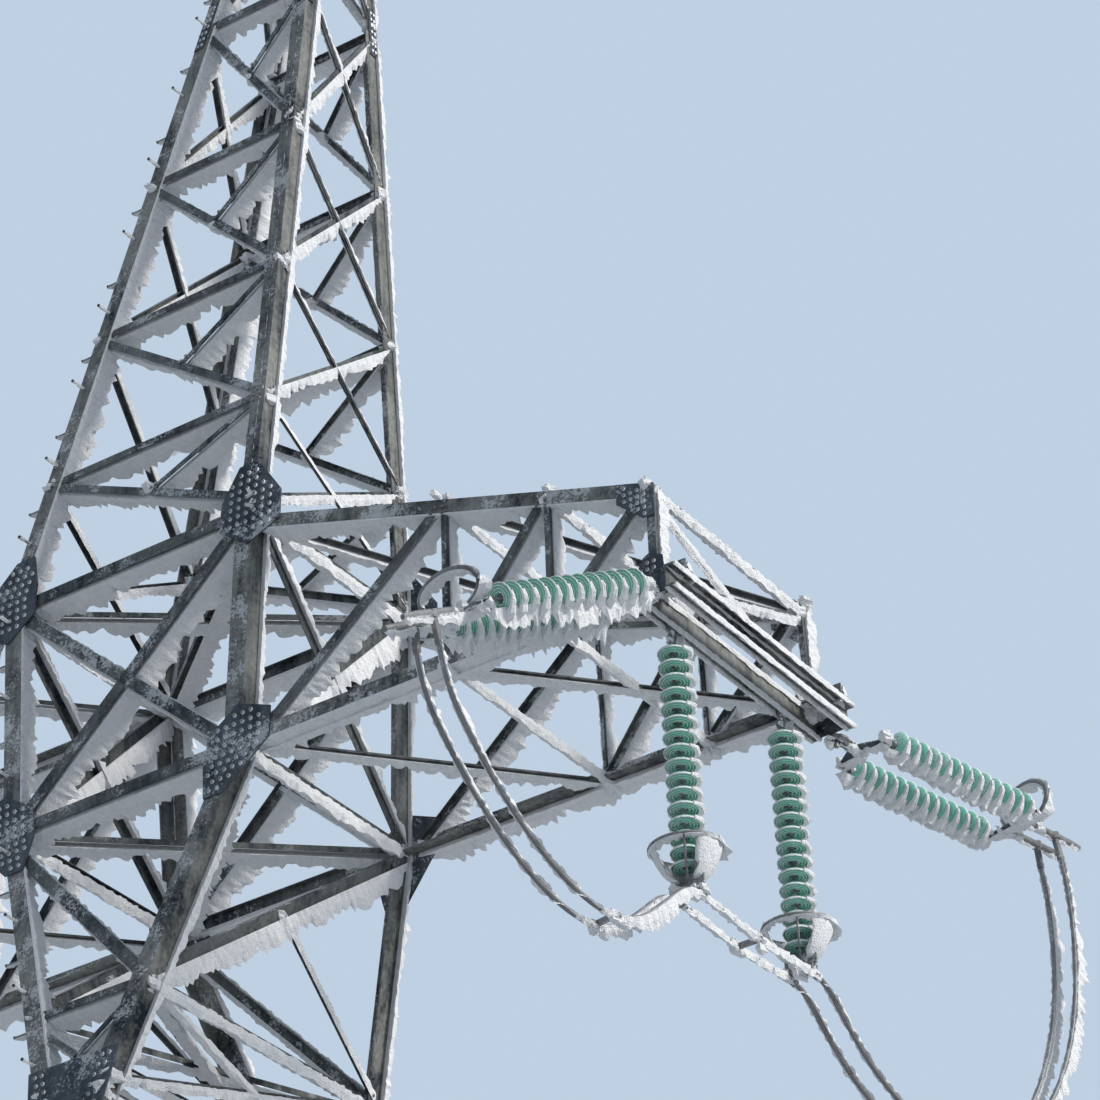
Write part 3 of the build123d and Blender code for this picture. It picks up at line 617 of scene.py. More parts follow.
def headWeb(face):
    # The crossed body, the falling haunch brace, its collar level and the crossed bay above the waist
    ring, sill, collar, waist, rise = (tower[k] for k in ("ring", "sill", "collar", "waist", "levelRise"))
    levels = level(face, ring - rise, heavy) + level(face, sill + rise, heavy)
    body = levels + crossed(face, sill, ring, heavy)
    a, b = spot(face, 1, sill), spot(face, 0, collar)
    haunch = [(a, b, heavy)] + level(face, collar, wide)
    if face in ("outer", "inner"):
        haunch.append(((a + b) / 2, spot(face, 1, collar), light))
    haunch += crossed(face, waist + rise, collar, light)
    wall = tower["legWall"]
    return mastWeb(face, sill, ring, body, wall) + mastWeb(face, waist, sill, haunch, wall)


columnTop = tower["waist"] - tower["levelRise"]
columnHeight = columnTop - tower["plateWall"] - tower["levelRise"]
growth = tower["columnGrowth"] ** np.arange(tower["columnPanels"])
columnLevels = columnTop - np.concatenate([[0], np.cumsum(growth)]) * columnHeight / growth.sum()


def columnWeb(face):
    # Crossed panels on the wide sides, single lacing from leg to leg on the narrow ones
    members, hand = [], 0
    for high, low in zip(columnLevels, columnLevels[1:]):
        if face in ("outer", "inner"):
            members += level(face, high, wide) + crossed(face, low, high, wide)
            continue
        pitch = (high - low) / 2
        for top in (high, high - pitch):
            members.append((spot(face, hand, top), spot(face, 1 - hand, top - pitch), light))
            hand = 1 - hand
    return mastWeb(face, tower["plateWall"], tower["waist"], members, tower["legWall"])


def beamPoint(end, top, x):
    z = tower["ring"] if top else tower["sill"]
    return np.array([x, end * halfDepth(z), z])


beamReach = tower["axis"] - tower["halfWidth"][3] - tower["rootGap"]
beamLines = np.linspace(-beamReach, beamReach, tower["beamPanels"] + 1)


def beamSide(end):
    # Braces that fall towards the middle, with a post at each station
    members = []
    for step, (x0, x1) in enumerate(zip(beamLines, beamLines[1:])):
        falls = step < tower["beamPanels"] / 2
        members.append((beamPoint(end, falls, x0), beamPoint(end, not falls, x1), wide))
        if step:
            members.append((beamPoint(end, True, x0), beamPoint(end, False, x0), light))
    a, b, c = beamPoint(end, True, 0), beamPoint(end, True, 1), beamPoint(end, False, 0)
    edges = [(beamPoint(end, top, 0), np.array([1.0, 0, 0])) for top in (True, False)]
    inside = np.array([0, 0, (tower["ring"] + tower["sill"]) / 2])
    return webBars(members, inward(a, b, c, inside), edges, tower["chordWall"])


def beamPlan(top):
    # Slants that change hands from panel to panel, with a strut at each station
    members = []
    for step, (x0, x1) in enumerate(zip(beamLines, beamLines[1:])):
        end = -1 if step % 2 else 1
        members.append((beamPoint(end, top, x0), beamPoint(-end, top, x1), light))
        if step:
            members.append((beamPoint(-1, top, x0), beamPoint(1, top, x0), light))
    edges = [(beamPoint(end, top, 0), np.array([1.0, 0, 0])) for end in (-1, 1)]
    return webBars(members, upward * (-1 if top else 1), edges, tower["chordWall"])


armRoot = tower["axis"] + tower["halfWidth"][3]
armSlope = (tower["armTipDrop"] - tower["armRootDrop"]) / tower["armReaches"][-1]


def armPoint(end, top, reach):
    z = tower["ring"] - tower["armRootDrop"] - armSlope * reach if top else tower["sill"]
    return np.array([armRoot + reach, end * halfDepth(z), z])


def armEdge(end, top):
    return armPoint(end, top, 0), unit(armPoint(end, top, 3) - armPoint(end, top, 0))


# A place inside the arm, which tells its faces' inner side
armInside = np.array([armRoot + 2, 0, tower["sill"] + 0.6])


def armSide(end):
    # Braces that fall towards the mast, with a post at each station
    stations, members = tower["armReaches"], []
    for back, out in zip(stations, stations[1:]):
        head = armPoint(end, True, out)
        members.append((head, armPoint(end, False, back), wide))
        members.append((head, armPoint(end, False, out), wide if out == stations[-1] else light))
    corners = armPoint(end, True, 0), armPoint(end, True, 2), armPoint(end, False, 0)
    edges = [armEdge(end, top) for top in (True, False)]
    return webBars(members, inward(*corners, armInside), edges, tower["chordWall"])


def armPlan(top):
    # Struts across at the stations and two long slants between them
    stations = tower["armReaches"]
    struts = stations[1:] if top else stations[1:-1]
    members = [(armPoint(-1, top, reach), armPoint(1, top, reach), light) for reach in struts]
    for back, out in ((0, 1), (1, -1)):
        members.append((armPoint(-1, top, stations[back]), armPoint(1, top, stations[out]), light))
    corners = armPoint(-1, top, 0), armPoint(-1, top, 2), armPoint(1, top, 0)
    edges = [armEdge(end, top) for end in (-1, 1)]
    return webBars(members, inward(*corners, armInside), edges, tower["chordWall"])


def endFrame():
    # The cross between the posts at the arm's tip
    low = tower["sill"] + braceForm["frameInset"]
    high = armPoint(1, True, tower["armReaches"][-1])[2] - braceForm["frameDrop"]
    half = halfDepth(low) - braceForm["frameInset"]
    ends = [(np.array([armTip, -s * half, low]), np.array([armTip, s * half, high])) for s in (1, -1)]
    return [{"a": a, "b": b, "w": light, "n": np.array([-1.0, 0, 0])} for a, b in ends]


def diaphragmBars():
    # Flat crosses that square the mast at the ring, the sill and the collar
    bars, inset = [], tower["legWall"] + braceForm["depth"] + braceForm["planGap"]
    for z in (tower["ring"] - tower["levelRise"], tower["sill"] + tower["levelRise"], tower["collar"]):
        middle = mastMiddle(z)
        for s in (1, -1):
            reach = np.array([offsetX(1, z) - inset, s * (halfDepth(z) - inset), 0])
            bars.append({"a": middle - reach, "b": middle + reach, "w": wide, "n": -upward})
    return bars


def tieBars():
    half = tower["halfWidth"][0] - tower["legWall"] - braceForm["depth"]
    ends = [[np.array([tower["axis"] + s * half, 0, z]) for s in (-1, 1)] for z in columnLevels[1:-1]]
    return [{"a": a, "b": b, "w": light, "n": -upward} for a, b in ends]


def angleBars(bars):
    # Rolled angles: an L outline carried straight from a to b, one flange on the face and one inward
    a, b, n = (np.array([bar[k] for bar in bars]) for k in "abn")
    w = np.array([bar["w"] for bar in bars])[:, None]
    side = unit(np.cross(n, b - a))
    falling = side[:, 2] < 0
    a[falling], b[falling] = b[falling], a[falling].copy()
    side[falling] *= -1
    n = unit(np.cross(b - a, side))
    half, none, t = w / 2, 0 * w, braceForm["thickness"]
    deep = np.minimum(braceForm["depth"], w * braceForm["inwardShare"])
    across = [half, half, half - t, half - t, -half, -half]
    into = [none, deep, deep, none + t, none + t, none]
    ring = np.stack([side * u + n * v for u, v in zip(across, into)], 1)
    return prisms(a[:, None] + ring, b[:, None] + ring)


webs = {}
for face in mastFaces:
    webs[f"peak_{face}_lattices"] = mirrored(peakWeb(face))
    webs[f"head_{face}_lattices"] = mirrored(headWeb(face))
    webs[f"column_{face}_lattices"] = mirrored(columnWeb(face))
for name, end in (("front", -1), ("rear", 1)):
    webs[f"beam_{name}_lattice"] = beamSide(end)
    webs[f"arm_{name}_lattices"] = mirrored(armSide(end))
for name, top in (("top", True), ("bottom", False)):
    webs[f"beam_{name}_lattice"] = beamPlan(top)
    webs[f"arm_{name}_lattices"] = mirrored(armPlan(top))
webs["arm_end_frames"] = mirrored(endFrame())
webs["mast_diaphragms"] = mirrored(diaphragmBars())
webs["column_ties"] = mirrored(tieBars())


def webGroup(prefix, kind=""):
    return [bar for node, bars in webs.items() if node.startswith(prefix) and kind in node for bar in bars]


def pieceName(node):
    first, *rest = node.split("_")
    return first + "".join(word.title() for word in rest) + "Angles"


for node, bars in webs.items():
    piece = newPiece(pieceName(node), *angleBars(bars), ["braces"], "brace_steel")
    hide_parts(node)
print("angle bars made:", sum(len(bars) for bars in webs.values()))

# Bolts where the bars meet the legs and chords
bolt = {
    "radius": 0.017,
    "height": 0.013,
    "taper": 0.93,          # width of the head's top over that of its foot
    "first": 0.035,         # from the bar's end to its first bolt
    "pitch": 0.062,
    "shortest": 0.3,        # a bar under this length has none
}
boltWalls = {
    "peak": tower["peakWall"],
    "head": tower["legWall"],
    "column": tower["legWall"],
    "beam": tower["chordWall"],
    "arm": tower["chordWall"],
}


def makeBolts(name, centres, normals, radius=bolt["radius"], height=bolt["height"], finish="fittings"):
    # Six-sided heads: a ring of points at the foot of each bolt and a slightly smaller one at its top
    n = unit(normals)
    ring = circleAcross(n, 6) * radius
    foot, top = centres[:, None] + ring, centres[:, None] + ring * bolt["taper"] + n[:, None] * height
    newPiece(name, *prisms(foot, top), [finish], "fitting_iron")


def barEndBolts(bars, wall):
    # Two bolts at each end of a bar, three on a heavy one, with heads outside the flange and nuts inside
    centres, normals = [], []
    for bar in bars:
        length = np.linalg.norm(bar["b"] - bar["a"])
        if length < bolt["shortest"]:
            continue
        run = (bar["b"] - bar["a"]) / length
        for k in range(3 if bar["w"] == heavy else 2):
            for start, way in ((bar["a"], run), (bar["b"], -run)):
                place = start + way * (bolt["first"] + k * bolt["pitch"])
                centres += [place - bar["n"] * wall, place + bar["n"] * braceForm["thickness"]]
                normals += [-bar["n"], bar["n"]]
    return np.array(centres), np.array(normals)


for part, wall in boltWalls.items():
    makeBolts(part + "BarBolts", *barEndBolts(webGroup(part, "lattice"), wall))
print("bar bolts made")

# Bolts on the joint plates, on a grid inside their outlines or in rows
plateBolts = {
    "wall": 0.014,
    # The bent plate at the ring, from its corner: (inward, upward). The one at the sill is upside down
    "gusset": ((-0.306, 0), (-0.306, -0.289), (0.036, -0.425), (0.34, -0.204), (0.34, 0.085),
               (0.18, 0.425), (-0.02, 0.425)),
    "gussetReach": 0.45,
    "gussetPitch": 0.085,
    "gussetMargin": 0.035,
    "waistRows": (0.05, 0.12),      # in from the leg's outer edge
    "waistHalf": 0.26,
    "spliceRows": (0.035, 0.080),   # in from the leg's heel
    "splicePitch": 0.072,
    "spliceWall": 0.012,
}


def boltGrid(outline, reach, pitch, margin):
    # Places on an even grid that lie inside a convex outline by more than the margin
    ticks = np.arange(-reach, reach + 0.01, pitch)
    x, y = (g.ravel() for g in np.meshgrid(ticks, ticks))
    following = np.roll(outline, -1, 0)
    step = unit(following - outline)
    area = np.sum(outline[:, 0] * following[:, 1] - following[:, 0] * outline[:, 1])
    gap = (x[:, None] - outline[:, 0]) * -step[:, 1] + (y[:, None] - outline[:, 1]) * step[:, 0]
    keep = np.all(gap * np.sign(area) > margin, 1)
    return x[keep], y[keep]


def legPlateBolts(rows):
    # Bolts on the front and rear of every leg, by their distance in from its edge and their height
    centres, normals = [], []
    for side in (1, -1):
        for end in (-1, 1):
            for inset, z in rows:
                x = tower["axis"] + offsetX(side, z) - side * inset
                centres.append(np.stack([x, end * (halfDepth(z) + plateBolts["wall"]), z], -1))
                normals.append(np.tile([0.0, end, 0.0], (len(z), 1)))
    return mirroredBolts(centres, normals)


def gussetRows():
    p = plateBolts
    for height, hand in ((tower["ring"], 1), (tower["sill"], -1)):
        outline = np.array(p["gusset"]) * [1, hand]
        x, y = boltGrid(outline, p["gussetReach"], p["gussetPitch"], p["gussetMargin"])
        yield x, height + y


def waistRows():
    z = tower["waist"] + np.linspace(-plateBolts["waistHalf"], plateBolts["waistHalf"], 7)
    return [(inset, z) for inset in plateBolts["waistRows"]]


def spliceBolts():
    # Two rows of seven on both flanges of each peak leg's splice
    centres, normals = [], []
    z = peakLevels[tower["splice"]] + np.arange(-3, 4) * plateBolts["splicePitch"]
    for side in (1, -1):
        for end in (-1, 1):
            heels = np.stack([corner(side, end, h) for h in z])
            for arm, out in (((-side, 0, 0), (0, end, 0)), ((0, -end, 0), (side, 0, 0))):
                for row in plateBolts["spliceRows"]:
                    centres.append(heels + np.array(arm) * row + np.array(out) * plateBolts["spliceWall"])
                    normals.append(np.tile(out, (len(z), 1)))
    return mirroredBolts(centres, normals)


# Plates at the arm's tips, as (outward, upward) corners from the tip's corner line
tipPlate = {
    "gap": 0.001,
    "wall": 0.010,
    "reach": 0.35,
    "margin": 0.030,
    "pitch": 0.062,
    # Anticlockwise as seen from the front
    "top": ((-0.30, 0.095), (-0.30, -0.10), (-0.06, -0.32), (0.05, -0.32), (0.05, -0.02)),
    "foot": ((-0.22, 0.005), (0.12, 0.005), (0.10, 0.24), (-0.02, 0.30), (-0.08, 0.27)),
}


def tipSpots(end, height, across, rise, off):
    z = height + rise
    return np.stack([armTip + across, end * (halfDepth(z) + off), z], -1)


def tipPlates():
    # Each plate is a prism between its outline at the gap and at the wall, with a grid of bolts
    p, parts, centres, normals = tipPlate, [], [], []
    for key, height in (("top", armPoint(1, True, tower["armReaches"][-1])[2]), ("foot", tower["sill"])):
        outline = np.array(p[key])
        grid = boltGrid(outline, p["reach"], p["pitch"], p["margin"])
        for end in (-1, 1):
            layers = [tipSpots(end, height, *outline.T, off)[None, ::-end] for off in (p["gap"], p["wall"])]
            parts.append(prisms(*layers))
            centres.append(tipSpots(end, height, *grid, p["wall"]))
            normals.append(np.tile([0.0, end, 0.0], (len(grid[0]), 1)))
    newPiece("armTipPlates", *mirroredSolids(*joined(parts)), ["plates"], "plate_steel")
    return mirroredBolts(centres, normals)


# Heads on the plates: their places, radius and height
plateHeads = {
    "armTipBolts": (tipPlates(), 0.018, 0.013),
    "gussetBolts": (legPlateBolts(list(gussetRows())), 0.020, 0.018),
    "spliceBolts": (spliceBolts(), 0.017, 0.013),
    "waistPlateBolts": (legPlateBolts(waistRows()), 0.019, 0.013),
}
for name, (places, radius, height) in plateHeads.items():
    makeBolts(name, *places, radius, height, "bolts")
print("plate bolts made")

# Step bolts up one leg of each mast
steps = {
    "low": 2.6,
    "high": 31.2,
    "pitch": 0.4,
    "inset": 0.05,          # from the leg's heel
    "reach": 0.16,
    "radius": 0.010,
    "headRadius": 0.016,
    "headWall": 0.01,
}


def makeSteps():
    # Pegs that stand out of the inner front leg in turn along X and along the line, each with a round head
    z = np.arange(steps["low"], steps["high"], steps["pitch"])
    heels = np.stack([corner(-1, -1, h) for h in z])
    even = (np.arange(len(z)) % 2 == 0)[:, None]
    way = np.where(even, [[-1.0, 0, 0]], [[0, -1.0, 0]])
    start = heels + np.where(even, [[0, steps["inset"], 0]], [[steps["inset"], 0, 0]])
    end = start + way * steps["reach"]
    rods = roundBars(start, end, steps["radius"])
    heads = roundBars(end - way * steps["headWall"], end, steps["headRadius"])
    newPiece("stepBolts", *mirroredSolids(*joined([rods, heads])), ["fittings"], "fitting_iron")
    return start, end


stepLines = makeSteps()
print("step bolts made")

# Insulator strings. A tension set has two of them, a support set one
strings = {
    "overhang": 0.21,       # from the sill's corner to the set's pin
    "drop": 0.23,           # from the sill's height to the set's pin
    "dip": {-1: 26.0, 1: 1.0},      # degrees below level, front and rear
    "sway": {-1: 14.5, 1: 13.0},    # degrees out of the line, front and rear
    "half": 0.25,           # from the set's line to each string
    "lead": 0.430,          # from the pin to the first unit
    "pitch": 0.127,
    "discs": 13,
    "tail": 0.15,
    "supportX": -0.165,
    "supportY": (-0.844, 0.797),
    "supportTop": 18.770,
    "supportDiscs": 16,
    "supportTail": 0.08,
    "pinLead": 0.075,
    "pinRadius": 0.012,
    "sides": 16,
}
# One unit of a string as (distance along it, radius): pin, cap, glass shell, rim and the ribs beneath
unitProfile = np.array([
    (-0.046, 0.012), (-0.045, 0.034), (-0.018, 0.041), (-0.003, 0.046),
    (0.000, 0.052), (0.006, 0.078), (0.017, 0.106), (0.033, 0.123), (0.044, 0.128), (0.050, 0.126),
    (0.049, 0.120), (0.036, 0.113), (0.055, 0.104), (0.056, 0.099), (0.036, 0.091), (0.058, 0.079),
    (0.059, 0.074), (0.037, 0.066), (0.055, 0.053), (0.056, 0.048), (0.036, 0.040), (0.034, 0.013),
])
# Its bands: 0 iron, 1 glass, 2 frosted rim and rib tips
unitFinish = np.array([0] * 3 + [1] * 4 + [2] * 3 + [1, 1, 2] * 3 + [1, 0])


def tensionFrame(x, end):
    # A set's pin and its directions: across its two strings, square to them, and down along them
    dip, sway = math.radians(strings["dip"][end]), math.radians(strings["sway"][end])
    level = end * math.cos(dip)
    run = np.array([level * math.sin(sway), level * math.cos(sway), -math.sin(dip)])
    pin = np.array([x, end * (tower["halfDepth"][1] + strings["overhang"]), tower["sill"] - strings["drop"]])
    across = unit(np.cross(run, upward))
    return pin, across, np.cross(run, across), run


def makeString(origin, run, across, count, tail):
    # All units of one string as one turned surface, from its first pin to the pin below its last disc
    profile = np.tile(unitProfile, (count, 1))
    profile[:, 0] += np.repeat(np.arange(count) * strings["pitch"], len(unitProfile))
    pins = [(-strings["pinLead"], strings["pinRadius"])], [(profile[-1, 0] + tail, strings["pinRadius"])]
    profile = np.concatenate([pins[0], profile, pins[1]])
    bands = np.concatenate([[0], np.tile(np.append(unitFinish, 0), count)])
    points, faces = turned(profile, origin, run, across, strings["sides"])
    return points, faces, np.repeat(bands, strings["sides"])


def makeStrings(name, places, nodes, tail):
    parts, shares = [], []
    for place in places:
        points, faces, bands = makeString(*place, tail)
        parts.append((points, faces))
        shares += [bands, [0], [0]]
    piece = newPiece(name, *joined(parts), ["fittings", "glass", "rime"], "insulator_glass", shares, True)
    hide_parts(*nodes)


tensionPlaces, supportPlaces = [], []
for x in phases.values():
    for end in (-1, 1):
        pin, across, _, run = tensionFrame(x, end)
        for s in (-1, 1):
            origin = pin + run * strings["lead"] + across * s * strings["half"]
            tensionPlaces.append((origin, run, across, strings["discs"]))
    for y in strings["supportY"]:
        origin = np.array([x + strings["supportX"], y, strings["supportTop"]])
        supportPlaces.append((origin, -upward, np.array([1.0, 0, 0]), strings["supportDiscs"]))
makeStrings("tensionStrings", tensionPlaces, ["tension_caps", "tension_glass_discs"], strings["tail"])
makeStrings("supportStrings", supportPlaces, ["support_caps", "support_glass_discs"], strings["supportTail"])
print("insulator strings made")

# Hardware of the sets. Distances along a tension set count from its pin
hardware = {
    "racketLength": {-1: 0.62, 1: 0.50},
    "racketWidth": {-1: 0.30, 1: 0.42},
    "racketTilt": {-1: 0.75, 1: 0.10},
    "racketMiddle": {-1: 2.30, 1: 2.36},
    "racketRise": {-1: 0.21, 1: 0.27},
    "racketOpening": 0.3,   # half of the gap at its foot, in radians
    "racketTube": 0.022,
    "racketFoot": (0.06, 0.03),     # across, and along from the line yoke
    "lineYoke": 2.133,
    "lineClamp": 2.263,
    "clampMiddle": 2.583,
    # A clamp's barrel as (distance from its start, radius), a socket as (share of its length, radius)
    "barrel": ((-0.03, 0.012), (0.0, 0.030), (0.12, 0.030), (0.14, 0.037), (0.50, 0.037), (0.60, 0.028),
               (0.64, 0.024)),
    "socket": ((0.0, 0.034), (0.12, 0.034), (0.14, 0.030), (0.80, 0.030), (0.84, 0.034), (1.0, 0.029)),
    "shoulder": (0.12, 0.046),      # share of the socket's length on each side, radius
    "bowLength": 0.085,
    "bowWidth": 0.072,
    "bowTube": 0.017,
    "bowSeat": 0.03,        # middle of the bow from the pin
    "bowArc": 2.2,
    "shacklePin": (0.075, 0.020),   # half length, radius
    "linkForm": (0.62, 0.026, 0.011),       # half length over its span, half width, radius of the rod
    "links": ((0.300, 0.365), (2.07, 2.155)),       # near and far end of the two links of each string
    "hangerLinks": ((0.035, 0.055, (0, 1, 0)), (0.100, 0.050, (1, 0, 0)), (0.158, 0.040, (0, 1, 0))),
    "hangerForm": (0.036, 0.012),   # half width of its links, radius of their rod
    # Its eye and its ball: (top and foot, down from the beam, radius, sides)
    "hangerRods": ((-0.004, 0.022, 0.045, 10), (0.16, 0.235, 0.013, 8)),
    "beamDepth": 0.2,       # from the sill to the underside of the string beams
    "bowlPitches": 14,      # from a support string's first unit to its bowl
    "bowlRadius": 0.285,
    "bowlTube": 0.014,
    "bowlDepth": 0.30,
    "bowlBend": 0.62,       # radius of the stays' knee over that of the bowl
    "bowlTilt": 0.06,       # rise of the ring along the line for each metre of its radius
    "stayTube": 0.009,
    "stayTurn": 0.5,
    "kneeRise": 0.05,
    "sheetArc": (-0.62, 4.05),      # the skin's two edges, as angles round the string
    "sheetSteps": 37,
    "sheetRows": 9,
    "sheetWall": 0.012,
    "sheetEdge": (2.3, 0.10),       # how far round its ragged edges begin, and how ragged they are
    "sheetRough": (0.012, 0.004),   # of its brim, and of all of it
    "sheetBulge": 0.25,
    "sheetFoot": 0.075,     # radius at the string's foot
}


def atSet(x, end):
    # Turns (across, other, along) inside one tension set into a place in the frame
    pin, across, other, run = tensionFrame(x, end)
    return lambda u, v, s: pin + across * u + other * v + run * s


def racketPath(x, end):
    # The arcing loop past the line end: an oval across the set that stands on the line yoke
    h = hardware
    pin, across, _, run = tensionFrame(x, end)
    stand = unit(upward + run * h["racketTilt"][end])
    opening = h["racketOpening"]
    turn = np.linspace(-math.pi / 2 + opening, 1.5 * math.pi - opening, 33)[:, None]
    middle = pin + run * h["racketMiddle"][end] + upward * h["racketRise"][end]
    half = h["racketLength"][end] / 2, h["racketWidth"][end] / 2
    loop = middle + across * np.cos(turn) * half[0] + stand * np.sin(turn) * half[1]
    apart, past = h["racketFoot"]
    foot = pin + run * (h["lineYoke"] + past)
    return np.concatenate([[foot + across * apart], loop, [foot - across * apart]])


def bowlMiddle(x, y):
    z = strings["supportTop"] - hardware["bowlPitches"] * strings["pitch"]
    return np.array([x + strings["supportX"], y, z])


def bowlParts(x, y):
    # The arcing ring round the lowest discs, with four bent stays to the string's foot
    h, middle = hardware, bowlMiddle(x, y)
    radius = h["bowlRadius"]
    ring = oval(middle, np.array([radius, 0, 0]), np.array([0, radius, h["bowlTilt"] * radius]), 36)
    parts = [carried(ring, h["bowlTube"], 8, closed=True)]
    share = np.linspace(0, 1, 9)[:, None]
    foot = middle - upward * h["bowlDepth"]
    for angle in h["stayTurn"] + np.arange(4) * math.pi / 2:
        out = radius * np.array([math.cos(angle), math.sin(angle), 0.0])
        rim, knee = middle + out, foot + out * h["bowlBend"] + upward * h["kneeRise"]
        stay = (1 - share) ** 2 * rim + 2 * share * (1 - share) * knee + share ** 2 * foot
        parts.append(carried(stay, h["stayTube"], 6))
    return parts, ring


def bowlSheet(rng, x, y):
    # The frozen skin of the bowl: two layers between ring and foot, open on one side, with ragged edges
    h = hardware
    steps, rows = h["sheetSteps"], h["sheetRows"]
    turn, share = np.linspace(*h["sheetArc"], steps)[:, None], np.linspace(0, 1, rows)[None]
    (begin, ragged), (brim, skin) = h["sheetEdge"], h["sheetRough"]
    fromMiddle = turn - turn.mean()
    edge = np.sign(fromMiddle) * (np.abs(fromMiddle) > begin)
    angle = turn + ragged * rng.normal(0, 1, (1, rows)) * edge
    lift = rng.normal(0, brim, (steps, 1)) * (1 - share) ** 2
    bend = 2 * share * (1 - share)
    radius = h["bowlRadius"] * ((1 - share) ** 2 + bend * h["bowlBend"]) + h["sheetFoot"] * share
    drop = -h["bowlDepth"] * share ** 2 - bend * h["sheetBulge"] + lift
    drop = drop + rng.normal(0, skin, radius.shape)
    outer, inner = (bowlMiddle(x, y) + np.stack([r * np.cos(angle), r * np.sin(angle), z], -1)
                    for r, z in ((radius, drop), (radius - h["sheetWall"], drop + h["sheetWall"] / 2)))
    return np.concatenate([outer, inner[:, ::-1]], 1).reshape(-1, 3), tubeFaces(steps, 2 * rows)


def clampParts(x, end):
    # Two round dead-end clamps beside each other, each with a bent socket for its jumper
    h, place = hardware, atSet(x, end)
    _, across, _, run = tensionFrame(x, end)
    parts = []
    barrel = np.array(h["barrel"]) + [h["lineClamp"], 0]
    share, radii = np.array(h["socket"]).T
    mouth = np.array(jumper["mouths"][0 if end < 0 else 1])
    way = mouth - (tensionFrame(0, end)[0] + run * h["clampMiddle"])
    reach, shoulder = h["shoulder"]
    for hand in (-1, 1):
        side = hand * jumper["spread"] / 2
        seat = place(side * np.sign(across[0]), 0, 0)
        start = seat + run * h["clampMiddle"]
        line = start + (mouth + [x + side, 0, 0] - start) * share[:, None]
        parts.append(turned(barrel, seat, run, across, 12))
        parts.append(carried(line, radii, 10))
        parts.append(carried([start - way * reach, start, start + way * reach], shoulder, 10))
    return parts


def shackleParts(x, end):
    # A bow shackle round the pin at the string beam, and links from the yokes to each string
    h = hardware
    pin, across, other, run = tensionFrame(x, end)
    turn = np.linspace(-h["bowArc"], h["bowArc"], 17)[:, None]
    seat = pin + run * h["bowSeat"]
    bow = seat - run * np.cos(turn) * h["bowLength"] + across * np.sin(turn) * h["bowWidth"]
    (half, radius), (long, wideness, rod) = h["shacklePin"], h["linkForm"]
    peg = roundBars([pin - other * half], [pin + other * half], radius, 8)
    parts = [carried(bow, h["bowTube"], 8), peg]
    for s in (-1, 1):
        for near, far in h["links"]:
            middle = pin + across * s * strings["half"] + run * (near + far) / 2
            link = oval(middle, run * (far - near) * long, other * wideness, 14)
            parts.append(carried(link, rod, 6, closed=True))
    return parts


def hangerParts(x, y):
    # Links, eye and ball from the string beam to the first cap of a support string
    top = np.array([x + strings["supportX"], y, tower["sill"] - hardware["beamDepth"]])
    parts, (half, rod) = [], hardware["hangerForm"]
    for drop, tall, flat in hardware["hangerLinks"]:
        link = oval(top - upward * drop, np.array(flat) * half, upward * tall, 16)
        parts.append(carried(link, rod, 8, closed=True))
    for high, low, radius, sides in hardware["hangerRods"]:
        parts.append(roundBars([top - upward * high], [top - upward * low], radius, sides))
    return parts


rackets, bowls, clamps, links, sheets, racketLines, bowlRings = [], [], [], [], [], [], []
rng = np.random.default_rng(9)
for x in phases.values():
    for end in (-1, 1):
        racketLines.append(racketPath(x, end))
        rackets.append(carried(racketLines[-1], hardware["racketTube"], 8))
        clamps += clampParts(x, end)
        links += shackleParts(x, end)
    for y in strings["supportY"]:
        parts, ring = bowlParts(x, y)
        bowls += parts
        bowlRings.append(ring)
        sheets.append(bowlSheet(rng, x, y))
        links += hangerParts(x, y)
newPiece("bowlSheets", *joined(sheets), ["rime"], "fitting_iron", smooth=True)
newPiece("racketLoops", *joined(rackets), ["fittings"], "fitting_iron", smooth=True)
newPiece("arcingBowls", *joined(bowls), ["fittings"], "fitting_iron", smooth=True)
clampPiece = newPiece("deadEndBarrels", *joined(clamps), ["fittings"], "fitting_iron")
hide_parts("dead_end_clamps")
newPiece("shacklesAndLinks", *joined(links), ["fittings"], "fitting_iron")
print("hardware made")

# Clamp collars round the jumpers at their spacers and saddles
collar = {
    "spans": (5, 10, 18),   # of the jumper's control line, at whose middles the spacers sit
    "half": 0.035,
    "profile": ((-1.0, 0.026), (-0.8, 0.034), (0.8, 0.034), (1.0, 0.026)),      # (share of the half, radius)
}


def spacerPlaces(line):
    points = np.array(jumperPoints(line[0, 0] - jumper["mouths"][0][0]))
    return [(points[k] + points[k + 1]) / 2 for k in collar["spans"]]


def makeCollars():
    # Short tubes, narrower at both ends, along the jumper's own line
    parts, (shares, radii) = [], np.array(collar["profile"]).T
    for line in jumperLines:
        saddles = [line[np.argmin(np.abs(line[:, 1] - y))] for y in strings["supportY"]]
        for place in spacerPlaces(line) + saddles:
            near = int(np.clip(np.argmin(np.linalg.norm(line - place, axis=1)), 1, len(line) - 2))
            run = unit(line[near + 1] - line[near - 1]) * collar["half"]
            parts.append(carried(line[near] + shares[:, None] * run, radii, 10))
    newPiece("jumperCollars", *joined(parts), ["fittings"], "fitting_iron")


makeCollars()

